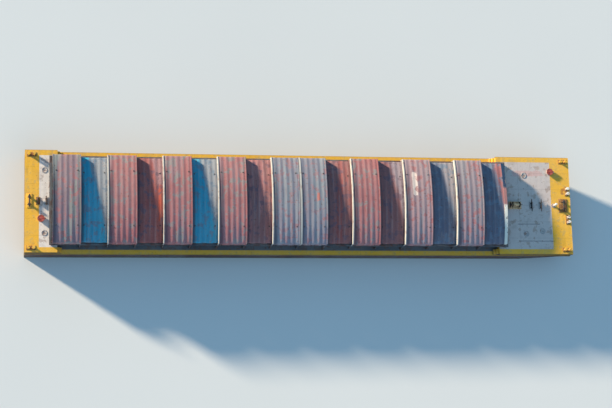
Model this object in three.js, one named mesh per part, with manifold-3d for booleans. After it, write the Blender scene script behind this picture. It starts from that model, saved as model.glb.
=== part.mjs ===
import * as THREE from 'three';
import { mergeVertices } from 'three/addons/utils/BufferGeometryUtils.js';
import Module from 'manifold-3d';

// River hopper barge with rolling hatch covers, as a 1:2 scale model.
// Frame: X forward to the raked bow, Y to port, Z up from the flat bottom, origin amidships.
// Sizes are written as the real barge's, in metres; m() turns them into model millimetres.
const wasm = await Module();
wasm.setup();
const MODEL_SCALE = 1 / 2;
const m = (realMetres) => realMetres * 1000 * MODEL_SCALE;

// Hull
const LENGTH = m(60);
const BEAM = m(11);
const RUB_RAIL_PROUD = m(0.06);
const RUB_RAIL_HEIGHT = m(0.2);
const RUB_RAIL_BELOW_DECK = m(0.12);
const SIDE = BEAM / 2 - RUB_RAIL_PROUD;
const SIDE_DECK = m(3.0);
const END_DECK = m(3.95);
const TANK_TOP = m(0.5);
const HOLD_HALF = m(4.4);
const BILGE_RADIUS = m(0.3);
const BILGE_STEPS = 4;
const RAKE_RADIUS = m(9);
const RAKE_SLOPE = THREE.MathUtils.degToRad(24);
const RAKE_STEPS = 8;
const SHOULDER = m(0.6);
const STEP = { treads: 2, deep: m(0.25), inner: m(4.85), outer: m(5.4) };

// Hatch and coaming
const PITCH = m(2.9);
const HATCH_AFT = m(-27.2);
const COAMING_PLATE = m(0.08);
const COAMING_TOP = m(4.45);
const FLANGE_THICK = m(0.05);
const FLANGE_INNER = m(4.34);
const FLANGE_OUTER = m(4.76);
const END_FLANGE = m(0.26);
const RAIL_WIDE = m(0.05);
const RAIL_HIGH = m(0.04);
const STAY_THICK = m(0.03);
const STAY_FOOT = m(0.38);
const STAY_HEAD = m(0.32);

// Covers: levels are named by how their side skirts stand
const COVER_THICK = m(0.08);
const COVER_RISE = m(0.7);
const SKIRT_FOOT = m(4.53);
const ARCH_STEPS = 10;
const LEVELS = {
  low: { half: m(4.5), eave: m(4.95) },
  high: { half: m(4.68), eave: m(5.51) },
};
const JOINT_GAP = m(0.02);
const LAP = m(0.08);
const END_PLATE = m(0.06);
const END_PLATE_FOOT = m(4.5);
const CRESCENT_CLEAR = m(0.24);
const BATTEN_WIDE = m(0.2);
const END_BAR_WIDE = m(0.12);
const END_BAR_PROUD = m(0.07);
const RIBS = 5;
const RIB_WIDE = m(0.2);
const RIB_PROUD = m(0.06);
const ROLLER_RADIUS = m(0.08);
const ROLLER_WIDE = m(0.06);
const ROLLER_INSET = m(0.35);
const SEAT_GAP = 0.3;

const PAINT = {
  hull: [0x4a3a36, 0.75, 0.1],
  deck: [0xb9b2ac, 0.8, 0],
  coaming: [0x6d6a6c, 0.75, 0.1],
  red: [0x9c5a4e, 0.8, 0],
  blue: [0x7f909c, 0.75, 0],
  pale: [0xa9adb4, 0.75, 0],
  mauve: [0x8d7f86, 0.8, 0],
  dark: [0x2e2c2d, 0.6, 0.4],
  white: [0xdedcd6, 0.6, 0],
  yellow: [0xe0ab3f, 0.7, 0],
  hatchRed: [0xa8443a, 0.6, 0],
};

// Columns: level, paint; from the stern to the bow
const COVERS = [
  ['high', 'mauve'],
  ['low', 'blue'],
  ['high', 'red'],
  ['low', 'red'],
  ['high', 'red'],
  ['low', 'blue'],
  ['high', 'red'],
  ['low', 'red'],
  ['high', 'pale'],
  ['high', 'pale'],
  ['low', 'red'],
  ['high', 'red'],
  ['low', 'red'],
  ['high', 'mauve'],
  ['low', 'blue'],
  ['high', 'mauve'],
  ['low', 'blue'],
];
const HATCH_FORE = HATCH_AFT + COVERS.length * PITCH;

// Fittings that stand on the end decks
// Columns: name, paint, x, y, turn in degrees
const DOUBLE_BITTS = [
  ['bitts_bow_port', 'yellow', m(29.3), m(4.98), 0],
  ['bitts_bow_starboard', 'yellow', m(29.3), m(-4.98), 0],
  ['bitts_stern_port', 'yellow', m(-29.3), m(4.98), 0],
  ['bitts_stern_starboard', 'yellow', m(-29.3), m(-4.98), 0],
  ['bitts_headlog_port', 'white', m(29.6), m(1.6), 90],
  ['bitts_headlog_starboard', 'white', m(29.6), m(-1.6), 90],
];
const BITT = { radius: m(0.13), height: m(0.55), cap: m(0.17), capThick: m(0.05), apart: m(0.55) };
const BITT_BASE = { long: m(1.0), wide: m(0.45), thick: m(0.04) };

const DECK_POST = { x: m(28.0), radius: m(0.11), height: m(1.05), foot: m(0.24), footThick: m(0.04) };

// Columns: name, x, y, length across the deck
const KEVELS = [
  ['kevel_fore_inner', m(25.4), 0, m(1.4)],
  ['kevel_fore_outer', m(26.5), 0, m(1.4)],
  ['kevel_stern_inner', m(-27.75), 0, m(1.0)],
  ['kevel_stern_outer', m(-28.6), 0, m(0.8)],
];
const KEVEL = { wide: m(0.22), web: m(0.11), high: m(0.32), horn: m(0.1), foot: m(0.4), base: m(0.04) };

const TOW_PLATE = { x: m(29.1), long: m(1.0), wide: m(1.5), thick: m(0.05) };
const TOW_BITT = {
  post: m(0.12), apart: m(0.8), height: m(0.5), bar: m(0.07), barAt: m(0.32), barReach: m(0.675),
};
const STERN_BITT = { x: m(-29.5), reach: m(0.6) };

const MERGE_WITHIN = 1e-4;
const ROUND_STEPS = 16;
const PIN_STEPS = 24;
const PIN_GAP = m(0.0011);

// Deck winch: built across the deck, then turned so that its axle lies fore and aft
const WINCH = {
  x: m(23.5), long: m(0.85), wide: m(1.5), bed: m(0.08), cheek: m(0.05), cheekAt: m(0.5), axle: m(0.5),
  cheekFoot: m(0.7), cheekHead: m(0.3), cheekTop: m(0.68),
};
const DRUM = {
  barrel: m(0.16), flange: m(0.3), flangeThick: m(0.03), half: m(0.42), shaft: m(0.05), reach: m(0.72),
};

// Access hatches: a round trunk with a hinged lid; columns: name, x, y
const ACCESS_HATCHES = [
  ['access_hatch_bow', m(27.7), m(3.8)],
  ['access_hatch_stern', m(-28.3), m(-1.9)],
];
const TRUNK = { outer: m(0.34), inner: m(0.29), height: m(0.25) };
const LID = {
  radius: m(0.38), thick: m(0.05), hingeAt: m(0.44), arm: m(0.084), armThick: m(0.04), barrel: m(0.035),
  pin: m(0.016),
};
const LUG = { thick: m(0.04), apart: m(0.16), wide: m(0.08), foot: m(0.1), root: m(0.31), play: m(0.01) };

const X = new THREE.Vector3(1, 0, 0);
const Y = new THREE.Vector3(0, 1, 0);
const Z = new THREE.Vector3(0, 0, 1);

// Solids for joining and cutting
function solid(geometry) {
  const bare = geometry.clone();
  bare.deleteAttribute('normal');
  bare.deleteAttribute('uv');
  const merged = mergeVertices(bare, MERGE_WITHIN);
  return new wasm.Manifold(new wasm.Mesh({
    numProp: 3,
    vertProperties: new Float32Array(merged.attributes.position.array),
    triVerts: new Uint32Array(merged.index.array),
  }));
}

function geometryOf(body) {
  const mesh = body.getMesh();
  const geometry = new THREE.BufferGeometry();
  geometry.setAttribute('position', new THREE.BufferAttribute(mesh.vertProperties, 3));
  geometry.setIndex(new THREE.BufferAttribute(mesh.triVerts, 1));
  return geometry;
}

function join(...geometries) {
  return geometries.map(solid).reduce((all, next) => all.add(next));
}

// Outlines carried in a straight line
function outline(points) {
  return new THREE.Shape(points.map(([across, up]) => new THREE.Vector2(across, up)));
}

function alongX(points, start, end) {
  const geometry = new THREE.ExtrudeGeometry(outline(points), { depth: end - start, bevelEnabled: false });
  return geometry.applyMatrix4(new THREE.Matrix4().makeBasis(Y, Z, X).setPosition(start, 0, 0));
}

function alongY(points, start, end) {
  const geometry = new THREE.ExtrudeGeometry(outline(points), { depth: end - start, bevelEnabled: false });
  const place = new THREE.Matrix4().makeBasis(X, Z, Y.clone().negate()).setPosition(0, end, 0);
  return geometry.applyMatrix4(place);
}

function block(x0, x1, y0, y1, z0, z1) {
  const geometry = new THREE.BoxGeometry(x1 - x0, y1 - y0, z1 - z0);
  return geometry.translate((x0 + x1) / 2, (y0 + y1) / 2, (z0 + z1) / 2);
}

function upright(radius, z0, z1, steps = ROUND_STEPS) {
  const geometry = new THREE.CylinderGeometry(radius, radius, z1 - z0, steps);
  return geometry.rotateX(Math.PI / 2).translate(0, 0, (z0 + z1) / 2);
}

function crosswise(radius, y0, y1, x, z, steps = ROUND_STEPS) {
  const geometry = new THREE.CylinderGeometry(radius, radius, y1 - y0, steps);
  return geometry.translate(x, (y0 + y1) / 2, z);
}

// A hole that a turning pin of the same number of sides never touches
const holeRadius = (pinRadius) => (pinRadius + PIN_GAP / 2) / Math.cos(Math.PI / PIN_STEPS) + PIN_GAP / 2;

function arc(centreAcross, centreUp, radius, from, to, steps) {
  const curve = new THREE.EllipseCurve(centreAcross, centreUp, radius, radius, from, to, to < from);
  return curve.getPoints(steps).map((point) => [point.x, point.y]);
}

// Hull
function portBilge() {
  return arc(SIDE - BILGE_RADIUS, BILGE_RADIUS, BILGE_RADIUS, -Math.PI / 2, 0, BILGE_STEPS);
}

function hullSection(top) {
  const starboard = portBilge().map(([across, up]) => [-across, up]).reverse();
  return [[-SIDE, top], ...starboard, ...portBilge(), [SIDE, top]];
}

function rubRail(side, start, end, deck) {
  const top = deck - RUB_RAIL_BELOW_DECK;
  const inner = side * (SIDE - RUB_RAIL_PROUD);
  const outer = side * BEAM / 2;
  return block(start, end, Math.min(inner, outer), Math.max(inner, outer), top - RUB_RAIL_HEIGHT, top);
}

function bowBlock() {
  const kneeX = HATCH_FORE + RAKE_RADIUS * Math.sin(RAKE_SLOPE);
  const kneeZ = RAKE_RADIUS * (1 - Math.cos(RAKE_SLOPE));
  const headlogFoot = kneeZ + (LENGTH / 2 - kneeX) * Math.tan(RAKE_SLOPE);
  const keelward = -Math.PI / 2;
  const underside = arc(HATCH_FORE, RAKE_RADIUS, RAKE_RADIUS, keelward, keelward + RAKE_SLOPE, RAKE_STEPS);
  const profile = [...underside, [LENGTH / 2, headlogFoot], [LENGTH / 2, END_DECK], [HATCH_FORE, END_DECK]];
  let body = solid(alongY(profile, -SIDE, SIDE));
  body = body.intersect(solid(alongX(hullSection(END_DECK), HATCH_FORE, LENGTH / 2)));
  return geometryOf(dressEnd(body, HATCH_FORE, LENGTH / 2, HATCH_FORE - SHOULDER));
}

function sternBlock() {
  const body = solid(alongX(hullSection(END_DECK), -LENGTH / 2, HATCH_AFT));
  return geometryOf(dressEnd(body, -LENGTH / 2, HATCH_AFT, HATCH_AFT + SHOULDER));
}

// Steps from a side deck up to an end deck, against the end of a shoulder
function deckSteps(side, wall, away) {
  const rise = (END_DECK - SIDE_DECK) / (STEP.treads + 1);
  const profile = [[wall, SIDE_DECK]];
  for (let tread = STEP.treads; tread > 0; tread -= 1) {
    const back = wall + away * STEP.deep * (STEP.treads - tread);
    profile.push([back, SIDE_DECK + rise * tread], [back + away * STEP.deep, SIDE_DECK + rise * tread]);
  }
  profile.push([wall + away * STEP.deep * STEP.treads, SIDE_DECK]);
  return alongY(profile, side > 0 ? STEP.inner : -STEP.outer, side > 0 ? STEP.outer : -STEP.inner);
}

// Each end block gets its rub rails, the shoulders that wrap round the hatch corners, and the steps
function dressEnd(body, start, end, shoulderEnd) {
  let dressed = body;
  const meeting = shoulderEnd < start ? start : end;
  for (const side of [-1, 1]) {
    const inner = side * (HOLD_HALF + COAMING_PLATE);
    const outer = side * SIDE;
    dressed = dressed.add(solid(block(
      Math.min(meeting, shoulderEnd), Math.max(meeting, shoulderEnd),
      Math.min(inner, outer), Math.max(inner, outer), SIDE_DECK, END_DECK,
    )));
    dressed = dressed.add(solid(deckSteps(side, shoulderEnd, Math.sign(shoulderEnd - meeting))));
    const railStart = Math.min(start, shoulderEnd);
    const railEnd = Math.max(end, shoulderEnd);
    dressed = dressed.add(solid(rubRail(side, railStart, railEnd, END_DECK)));
    dressed = dressed.add(solid(rubRail(side, start, end, SIDE_DECK)));
  }
  return dressed;
}

function wingTank(side) {
  const port = [[HOLD_HALF, 0], ...portBilge(), [SIDE, SIDE_DECK], [HOLD_HALF, SIDE_DECK]];
  const section = port.map(([across, up]) => [side * across, up]);
  const tank = alongX(section, HATCH_AFT, HATCH_FORE);
  return geometryOf(join(tank, rubRail(side, HATCH_AFT, HATCH_FORE, SIDE_DECK)));
}

function doubleBottom() {
  return block(HATCH_AFT, HATCH_FORE, -HOLD_HALF, HOLD_HALF, 0, TANK_TOP);
}

// Coaming
const railLine = (level) => LEVELS[level].half - COVER_THICK / 2;

function sideCoaming(side) {
  const flangeFoot = COAMING_TOP - FLANGE_THICK;
  const railTop = COAMING_TOP + RAIL_HIGH;
  const rails = ['high', 'low'].flatMap((level) => {
    const outer = railLine(level) + RAIL_WIDE / 2;
    const inner = railLine(level) - RAIL_WIDE / 2;
    return [[outer, COAMING_TOP], [outer, railTop], [inner, railTop], [inner, COAMING_TOP]];
  });
  const port = [
    [HOLD_HALF, SIDE_DECK], [HOLD_HALF + COAMING_PLATE, SIDE_DECK], [HOLD_HALF + COAMING_PLATE, flangeFoot],
    [FLANGE_OUTER, flangeFoot], [FLANGE_OUTER, COAMING_TOP], ...rails,
    [FLANGE_INNER, COAMING_TOP], [FLANGE_INNER, flangeFoot], [HOLD_HALF, flangeFoot],
  ];
  const mirrored = port.map(([across, up]) => [side * across, up]);
  let coaming = solid(alongX(mirrored, HATCH_AFT, HATCH_FORE));
  const root = HOLD_HALF + COAMING_PLATE / 2;
  const stayFoot = SIDE_DECK + SEAT_GAP;
  const stayTop = flangeFoot + FLANGE_THICK / 2;
  const stay = [
    [root, stayFoot], [HOLD_HALF + STAY_FOOT, stayFoot], [HOLD_HALF + STAY_HEAD, stayTop], [root, stayTop],
  ].map(([across, up]) => [side * across, up]);
  for (let panel = 1; panel < COVERS.length; panel += 1) {
    const middle = HATCH_AFT + panel * PITCH;
    coaming = coaming.add(solid(alongX(stay, middle - STAY_THICK / 2, middle + STAY_THICK / 2)));
  }
  return geometryOf(coaming);
}

function endCoaming(hatchEnd, outward) {
  const flangeFoot = COAMING_TOP - FLANGE_THICK;
  const section = [
    [0, END_DECK], [COAMING_PLATE, END_DECK], [COAMING_PLATE, flangeFoot],
    [END_FLANGE, flangeFoot], [END_FLANGE, COAMING_TOP], [0, COAMING_TOP],
  ].map(([along, up]) => [hatchEnd + outward * along, up]);
  return alongY(section, -FLANGE_OUTER, FLANGE_OUTER);
}

// Covers
function archOf(level) {
  const { half, eave } = LEVELS[level];
  const radius = (half ** 2 + COVER_RISE ** 2) / (2 * COVER_RISE);
  return { centre: eave + COVER_RISE - radius, radius, half };
}

// Points of an arch's curve from one side to the other, at a lift above its outer face
function archCurve(level, lift, reach) {
  const { centre, radius } = archOf(level);
  const from = Math.acos(reach / (radius + lift));
  return arc(0, centre, radius + lift, from, Math.PI - from, ARCH_STEPS);
}

// A band that stands proud of the arch, from eave to eave
function archBand(level, proud, start, end) {
  const { half } = archOf(level);
  const outer = archCurve(level, proud, half);
  const inner = archCurve(level, -COVER_THICK / 2, half).reverse();
  return alongX([...outer, ...inner], start, end);
}

function ribs(level) {
  return Array.from({ length: RIBS }, (unused, rib) => {
    const middle = ((rib + 0.5) / RIBS - 0.5) * PITCH;
    return archBand(level, RIB_PROUD, middle - RIB_WIDE / 2, middle + RIB_WIDE / 2);
  });
}

function coverShell(level, start, end) {
  const { half } = archOf(level);
  const inner = half - COVER_THICK;
  const section = [
    [half, SKIRT_FOOT], ...archCurve(level, 0, half), [-half, SKIRT_FOOT],
    [-inner, SKIRT_FOOT], ...archCurve(level, -COVER_THICK, inner).reverse(), [inner, SKIRT_FOOT],
  ];
  return alongX(section, start, end);
}

// The end plate of a high cover, cut to ride over the low cover beside it
function crescent(start, end) {
  const reach = LEVELS.high.half - COVER_THICK / 2;
  const top = archCurve('high', -COVER_THICK / 2, reach);
  const foot = archCurve('low', CRESCENT_CLEAR, reach).reverse();
  return alongX([...top, ...foot], start, end);
}

function endPlate(level, start, end) {
  const reach = LEVELS[level].half - COVER_THICK / 2;
  const top = archCurve(level, -COVER_THICK / 2, reach);
  return alongX([[reach, END_PLATE_FOOT], ...top, [-reach, END_PLATE_FOOT]], start, end);
}

function rollers(level, start, end) {
  const line = railLine(level);
  const height = COAMING_TOP + RAIL_HIGH + SEAT_GAP + ROLLER_RADIUS;
  return [start + ROLLER_INSET, end - ROLLER_INSET].flatMap((x) => [-line, line].map(
    (y) => crosswise(ROLLER_RADIUS, y - ROLLER_WIDE / 2, y + ROLLER_WIDE / 2, x, height),
  ));
}

// How far a cover's end stands past its joint line: high laps over low, like meets like with a gap
function endReach(level, neighbour) {
  return level === 'high' && neighbour === 'low' ? LAP : -JOINT_GAP;
}

function cover(index) {
  const level = COVERS[index][0];
  const aftNeighbour = COVERS[index - 1]?.[0];
  const foreNeighbour = COVERS[index + 1]?.[0];
  const start = -PITCH / 2 - endReach(level, aftNeighbour);
  const end = PITCH / 2 + endReach(level, foreNeighbour);
  const pieces = [coverShell(level, start, end), ...rollers(level, start, end)];
  if (level === 'high') {
    const aftEnd = aftNeighbour ? crescent : endPlate.bind(null, level);
    const aftBar = aftNeighbour === 'high' ? BATTEN_WIDE : END_BAR_WIDE;
    pieces.push(
      aftEnd(start, start + END_PLATE), crescent(end - END_PLATE, end),
      archBand(level, END_BAR_PROUD, start, start + aftBar),
      archBand(level, END_BAR_PROUD, end - END_BAR_WIDE, end),
    );
  } else if (!foreNeighbour) {
    pieces.push(endPlate(level, end - END_PLATE, end));
  }
  return geometryOf(join(...pieces, ...ribs(level)));
}

// Deck fittings, each built at its own foot and placed on the deck
function doubleBitts() {
  const half = BITT_BASE.long / 2;
  const base = block(-half, half, -BITT_BASE.wide / 2, BITT_BASE.wide / 2, 0, BITT_BASE.thick);
  const posts = [-1, 1].flatMap((side) => {
    const at = side * BITT.apart / 2;
    return [
      upright(BITT.radius, BITT_BASE.thick / 2, BITT.height).translate(at, 0, 0),
      upright(BITT.cap, BITT.height - BITT.capThick, BITT.height).translate(at, 0, 0),
    ];
  });
  return geometryOf(join(base, ...posts));
}

function deckPost() {
  const { radius, height, foot, footThick } = DECK_POST;
  return geometryOf(join(upright(foot, 0, footThick), upright(radius, footThick / 2, height)));
}

function kevel(across) {
  const top = KEVEL.high;
  const half = across / 2;
  const horns = alongX([
    [-KEVEL.foot / 2, KEVEL.base / 2], [KEVEL.foot / 2, KEVEL.base / 2], [KEVEL.foot / 2, top - KEVEL.horn],
    [half, top - KEVEL.horn / 2], [half, top], [-half, top], [-half, top - KEVEL.horn / 2],
    [-KEVEL.foot / 2, top - KEVEL.horn],
  ], -KEVEL.web / 2, KEVEL.web / 2);
  const foot = block(-KEVEL.wide, KEVEL.wide, -KEVEL.foot, KEVEL.foot, 0, KEVEL.base);
  return geometryOf(join(foot, horns));
}

function towFitting(reach) {
  const half = TOW_PLATE.wide / 2;
  const plate = block(-reach / 2, reach / 2, -half, half, 0, TOW_PLATE.thick);
  const posts = [-1, 1].map((side) => upright(TOW_BITT.post, TOW_PLATE.thick / 2, TOW_BITT.height)
    .translate(0, side * TOW_BITT.apart / 2, 0));
  const bar = crosswise(TOW_BITT.bar, -TOW_BITT.barReach, TOW_BITT.barReach, 0, TOW_BITT.barAt);
  return geometryOf(join(plate, ...posts, bar));
}

function winchFrame() {
  const half = WINCH.long / 2;
  const bed = block(-half, half, -WINCH.wide / 2, WINCH.wide / 2, 0, WINCH.bed);
  const cheek = [
    [-WINCH.cheekFoot / 2, WINCH.bed / 2], [WINCH.cheekFoot / 2, WINCH.bed / 2],
    [WINCH.cheekHead / 2, WINCH.cheekTop], [-WINCH.cheekHead / 2, WINCH.cheekTop],
  ];
  let frame = solid(bed);
  for (const side of [-1, 1]) {
    const middle = side * WINCH.cheekAt;
    frame = frame.add(solid(alongY(cheek, middle - WINCH.cheek / 2, middle + WINCH.cheek / 2)));
  }
  const bore = crosswise(holeRadius(DRUM.shaft), -WINCH.wide / 2, WINCH.wide / 2, 0, WINCH.axle, PIN_STEPS);
  return geometryOf(frame.subtract(solid(bore)));
}

// The drum is built on its own axle, so that it turns about its origin
function winchDrum() {
  const { barrel, flange, flangeThick, half, shaft, reach } = DRUM;
  const flanges = [-half, half - flangeThick].map(
    (y) => crosswise(flange, y, y + flangeThick, 0, 0, PIN_STEPS),
  );
  const axle = crosswise(shaft, -reach, reach, 0, 0, PIN_STEPS);
  return geometryOf(join(crosswise(barrel, -half, half, 0, 0), ...flanges, axle));
}

const lidHeight = TRUNK.height + SEAT_GAP;
const hingeHeight = lidHeight + LID.thick / 2;

function accessTrunk() {
  const wall = solid(upright(TRUNK.outer, 0, TRUNK.height, PIN_STEPS));
  let trunk = wall.subtract(solid(upright(TRUNK.inner, LID.thick, TRUNK.height * 2, PIN_STEPS)));
  const far = LID.hingeAt + LUG.wide / 2;
  for (const side of [-1, 1]) {
    const middle = side * LUG.apart / 2;
    const lug = block(
      LUG.root, far, middle - LUG.thick / 2, middle + LUG.thick / 2, LUG.foot, hingeHeight + LUG.wide / 2,
    );
    const clear = solid(upright(LID.radius + LID.thick / 2, TRUNK.height, TRUNK.height * 2, PIN_STEPS));
    trunk = trunk.add(solid(lug).subtract(clear));
  }
  const bore = crosswise(holeRadius(LID.pin), -LUG.apart, LUG.apart, LID.hingeAt, hingeHeight, PIN_STEPS);
  return geometryOf(trunk.subtract(solid(bore)));
}

// The lid is built on its hinge pin, so that it turns about its origin
function accessLid() {
  const bottom = lidHeight - hingeHeight;
  const top = bottom + LID.thick;
  const disc = upright(LID.radius, bottom, top, PIN_STEPS).translate(-LID.hingeAt, 0, 0);
  const arm = block(-LID.hingeAt, 0, -LID.arm / 2, LID.arm / 2, top - LID.armThick, top);
  const barrelHalf = (LUG.apart - LUG.thick) / 2 - LUG.play;
  const pinHalf = (LUG.apart + LUG.thick) / 2;
  const barrel = crosswise(LID.barrel, -barrelHalf, barrelHalf, 0, 0);
  const pin = crosswise(LID.pin, -pinHalf, pinHalf, 0, 0, PIN_STEPS);
  return geometryOf(join(disc, arm, barrel, pin));
}

// The whole barge
const barge = new THREE.Group();

function add(name, geometry, paint, x = 0, y = 0, z = 0) {
  const [color, roughness, metalness] = PAINT[paint];
  const mesh = new THREE.Mesh(geometry, new THREE.MeshStandardMaterial({ color, roughness, metalness }));
  mesh.name = name;
  mesh.position.set(x, y, z);
  barge.add(mesh);
}

add('hull_bow_block', bowBlock(), 'hull');
add('hull_stern_block', sternBlock(), 'hull');
add('wing_tank_port', wingTank(1), 'hull');
add('wing_tank_starboard', wingTank(-1), 'hull');
add('double_bottom', doubleBottom(), 'hull');
add('coaming_port', sideCoaming(1), 'coaming');
add('coaming_starboard', sideCoaming(-1), 'coaming');
add('coaming_fore', endCoaming(HATCH_FORE, 1), 'coaming');
add('coaming_aft', endCoaming(HATCH_AFT, -1), 'coaming');

COVERS.forEach(([level, paint], index) => {
  const name = `cover_${String(index + 1).padStart(2, '0')}_${level}`;
  add(name, cover(index), paint, HATCH_AFT + (index + 0.5) * PITCH);
});

for (const [name, paint, x, y, turn] of DOUBLE_BITTS) {
  const bitts = doubleBitts().rotateZ(THREE.MathUtils.degToRad(turn));
  add(name, bitts, paint, x, y, END_DECK);
}
add('deck_post_centre', deckPost(), 'white', DECK_POST.x, 0, END_DECK);
for (const [name, x, y, across] of KEVELS) add(name, kevel(across), 'dark', x, y, END_DECK);
add('tow_bitt_bow', towFitting(TOW_PLATE.long), 'dark', TOW_PLATE.x, 0, END_DECK);
add('tow_bitt_stern', towFitting(STERN_BITT.reach), 'dark', STERN_BITT.x, 0, END_DECK);
add('winch_frame', winchFrame().rotateZ(Math.PI / 2), 'dark', WINCH.x, 0, END_DECK);
add('winch_drum', winchDrum().rotateZ(Math.PI / 2), 'dark', WINCH.x, 0, END_DECK + WINCH.axle);

for (const [name, x, y] of ACCESS_HATCHES) {
  add(`${name}_trunk`, accessTrunk(), 'deck', x, y, END_DECK);
  add(`${name}_lid`, accessLid(), 'hatchRed', x + LID.hingeAt, y, END_DECK + hingeHeight);
}

export default barge;
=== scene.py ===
# River hopper barge with rolling hatch covers, half the real size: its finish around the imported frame.
# Frame: X forward to the raked bow, Y to port, Z up from the flat bottom. In the model's own metres are
# noise scales, bump depths, the camera's clip range and the studio's floor.
import math
from functools import cached_property

import bmesh
import bpy
from mathutils import Matrix, Vector


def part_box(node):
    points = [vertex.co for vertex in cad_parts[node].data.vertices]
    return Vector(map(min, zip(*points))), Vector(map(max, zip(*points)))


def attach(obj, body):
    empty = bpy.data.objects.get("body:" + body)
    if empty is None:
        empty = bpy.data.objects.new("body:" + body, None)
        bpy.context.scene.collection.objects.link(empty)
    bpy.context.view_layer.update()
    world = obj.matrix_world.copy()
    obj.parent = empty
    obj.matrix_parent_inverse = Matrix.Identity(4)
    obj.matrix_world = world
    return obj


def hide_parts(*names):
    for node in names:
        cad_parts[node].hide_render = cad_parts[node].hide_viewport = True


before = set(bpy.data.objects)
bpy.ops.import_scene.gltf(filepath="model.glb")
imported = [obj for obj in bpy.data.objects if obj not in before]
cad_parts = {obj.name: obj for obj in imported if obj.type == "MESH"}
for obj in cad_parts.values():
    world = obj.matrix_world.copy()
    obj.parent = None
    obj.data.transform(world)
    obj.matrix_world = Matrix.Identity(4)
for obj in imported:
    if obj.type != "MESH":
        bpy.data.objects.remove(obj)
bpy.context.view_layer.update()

SCALE = 0.5


def box_of(node):
    """A node's lowest and highest corners, on the real barge."""
    low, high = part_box(node)
    return low / SCALE, high / SCALE


# Hull: how far the rub rails stand out and the light waterline, then what the frame says
RUB_RAIL_PROUD = 0.06
WATERLINE = 0.41
HOLD_LOW, HOLD_HIGH = box_of("double_bottom")
HATCH_AFT = HOLD_LOW.x
HATCH_FORE = HOLD_HIGH.x
HATCH_LONG = HATCH_FORE - HATCH_AFT
HOLD_HALF = HOLD_HIGH.y
SIDE_DECK = box_of("wing_tank_port")[1].z
END_DECK = box_of("hull_bow_block")[1].z
SIDE = box_of("hull_bow_block")[1].y - RUB_RAIL_PROUD
COAMING_TOP = box_of("coaming_fore")[1].z

# Covers: half width and eave height of each level, then their arch, plate, skirts and ribs
LEVELS = {"low": (4.5, 4.95), "high": (4.68, 5.51)}
COVER_COUNT = 17
PITCH = HATCH_LONG / COVER_COUNT
COVER_RISE = 0.7
COVER_PLATE = 0.05
SKIRT_FOOT = 4.53
EAVE_ROUND = 0.07
RIBS = 5
RIB_PITCH = PITCH / RIBS
RIB_FOOT = 0.42
RIB_TOP = 0.14
RIB_PROUD = 0.032
ARCH_STEPS = 36

# Covers' ends: bars over the arch, plates under it, and how each stands off the low covers
BAR_UNDER = -0.03
BAR_PROUD = {"low": 0.03, "high": 0.07}
BAR_WIDE = 0.12
BATTEN_WIDE = 0.2
FORE_BAR_WIDE = 0.34
FORE_BAR_PROUD = 0.06
PLATE_INSET = 0.04
CRESCENT_CLEAR = 0.24
CRESCENT_REACH = LEVELS["high"][0] - PLATE_INSET
FLAP = 0.05
END_PLATE_FOOT = 4.5
END_STIFFENERS = [1.1, 2.6, 3.9]

# Covers' rollers on the coaming's rails, grab handles and lifting eyes
RAIL_TOP = 4.49
RAIL_INSET = 0.04
ROLLER_RADIUS = 0.08
ROLLER_INSET = 0.35
ROLLER_GAP = 0.0006
ROLLER_AXLE = RAIL_TOP + ROLLER_RADIUS + ROLLER_GAP
GRAB_OUT = {"low": 0.05, "high": 0.06}
GRAB_REACH = 0.2
GRAB_UP = 0.27
EYE_INSET = 0.36
EYE_OUT = 0.62

MERGE_WITHIN = 2e-5
SHARP = math.radians(32)

# Camera: along the photograph's own line of sight, aimed at this barge alone
CAMERA_AT = SCALE * Vector((-31.8, -31.0, 167.0))
CAMERA_AIM = SCALE * Vector((0, 0, 3.6))
CAMERA_LENS = 92.0
CAMERA_ROLL = math.radians(-1.5)
CAMERA_CLIP = (1.0, 1500.0)


def set_camera():
    data = bpy.data.cameras.new("camera")
    camera = bpy.data.objects.new("camera", data)
    bpy.context.scene.collection.objects.link(camera)
    back = (CAMERA_AT - CAMERA_AIM).normalized()
    right = Vector((0, 1, 0)).cross(back).normalized()
    up = back.cross(right)
    turn = Matrix((right, up, back)).transposed() @ Matrix.Rotation(CAMERA_ROLL, 3, "Z")
    camera.matrix_world = Matrix.Translation(CAMERA_AT) @ turn.to_4x4()
    data.lens = CAMERA_LENS
    data.clip_start, data.clip_end = CAMERA_CLIP
    bpy.context.scene.camera = camera


set_camera()


# Shader wiring. A colour is a socket, three display values from 0 to 255, or four linear ones
def linear(colour):
    """Display values as the linear colour that shaders take; a socket or linear colour as it is."""
    if isinstance(colour, bpy.types.NodeSocket) or len(colour) == 4:
        return colour
    shares = [channel / 255 for channel in colour]
    light = [share / 12.92 if share <= 0.04045 else ((share + 0.055) / 1.055) ** 2.4 for share in shares]
    return (*light, 1.0)


def grey(value):
    return (value, value, value)


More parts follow.
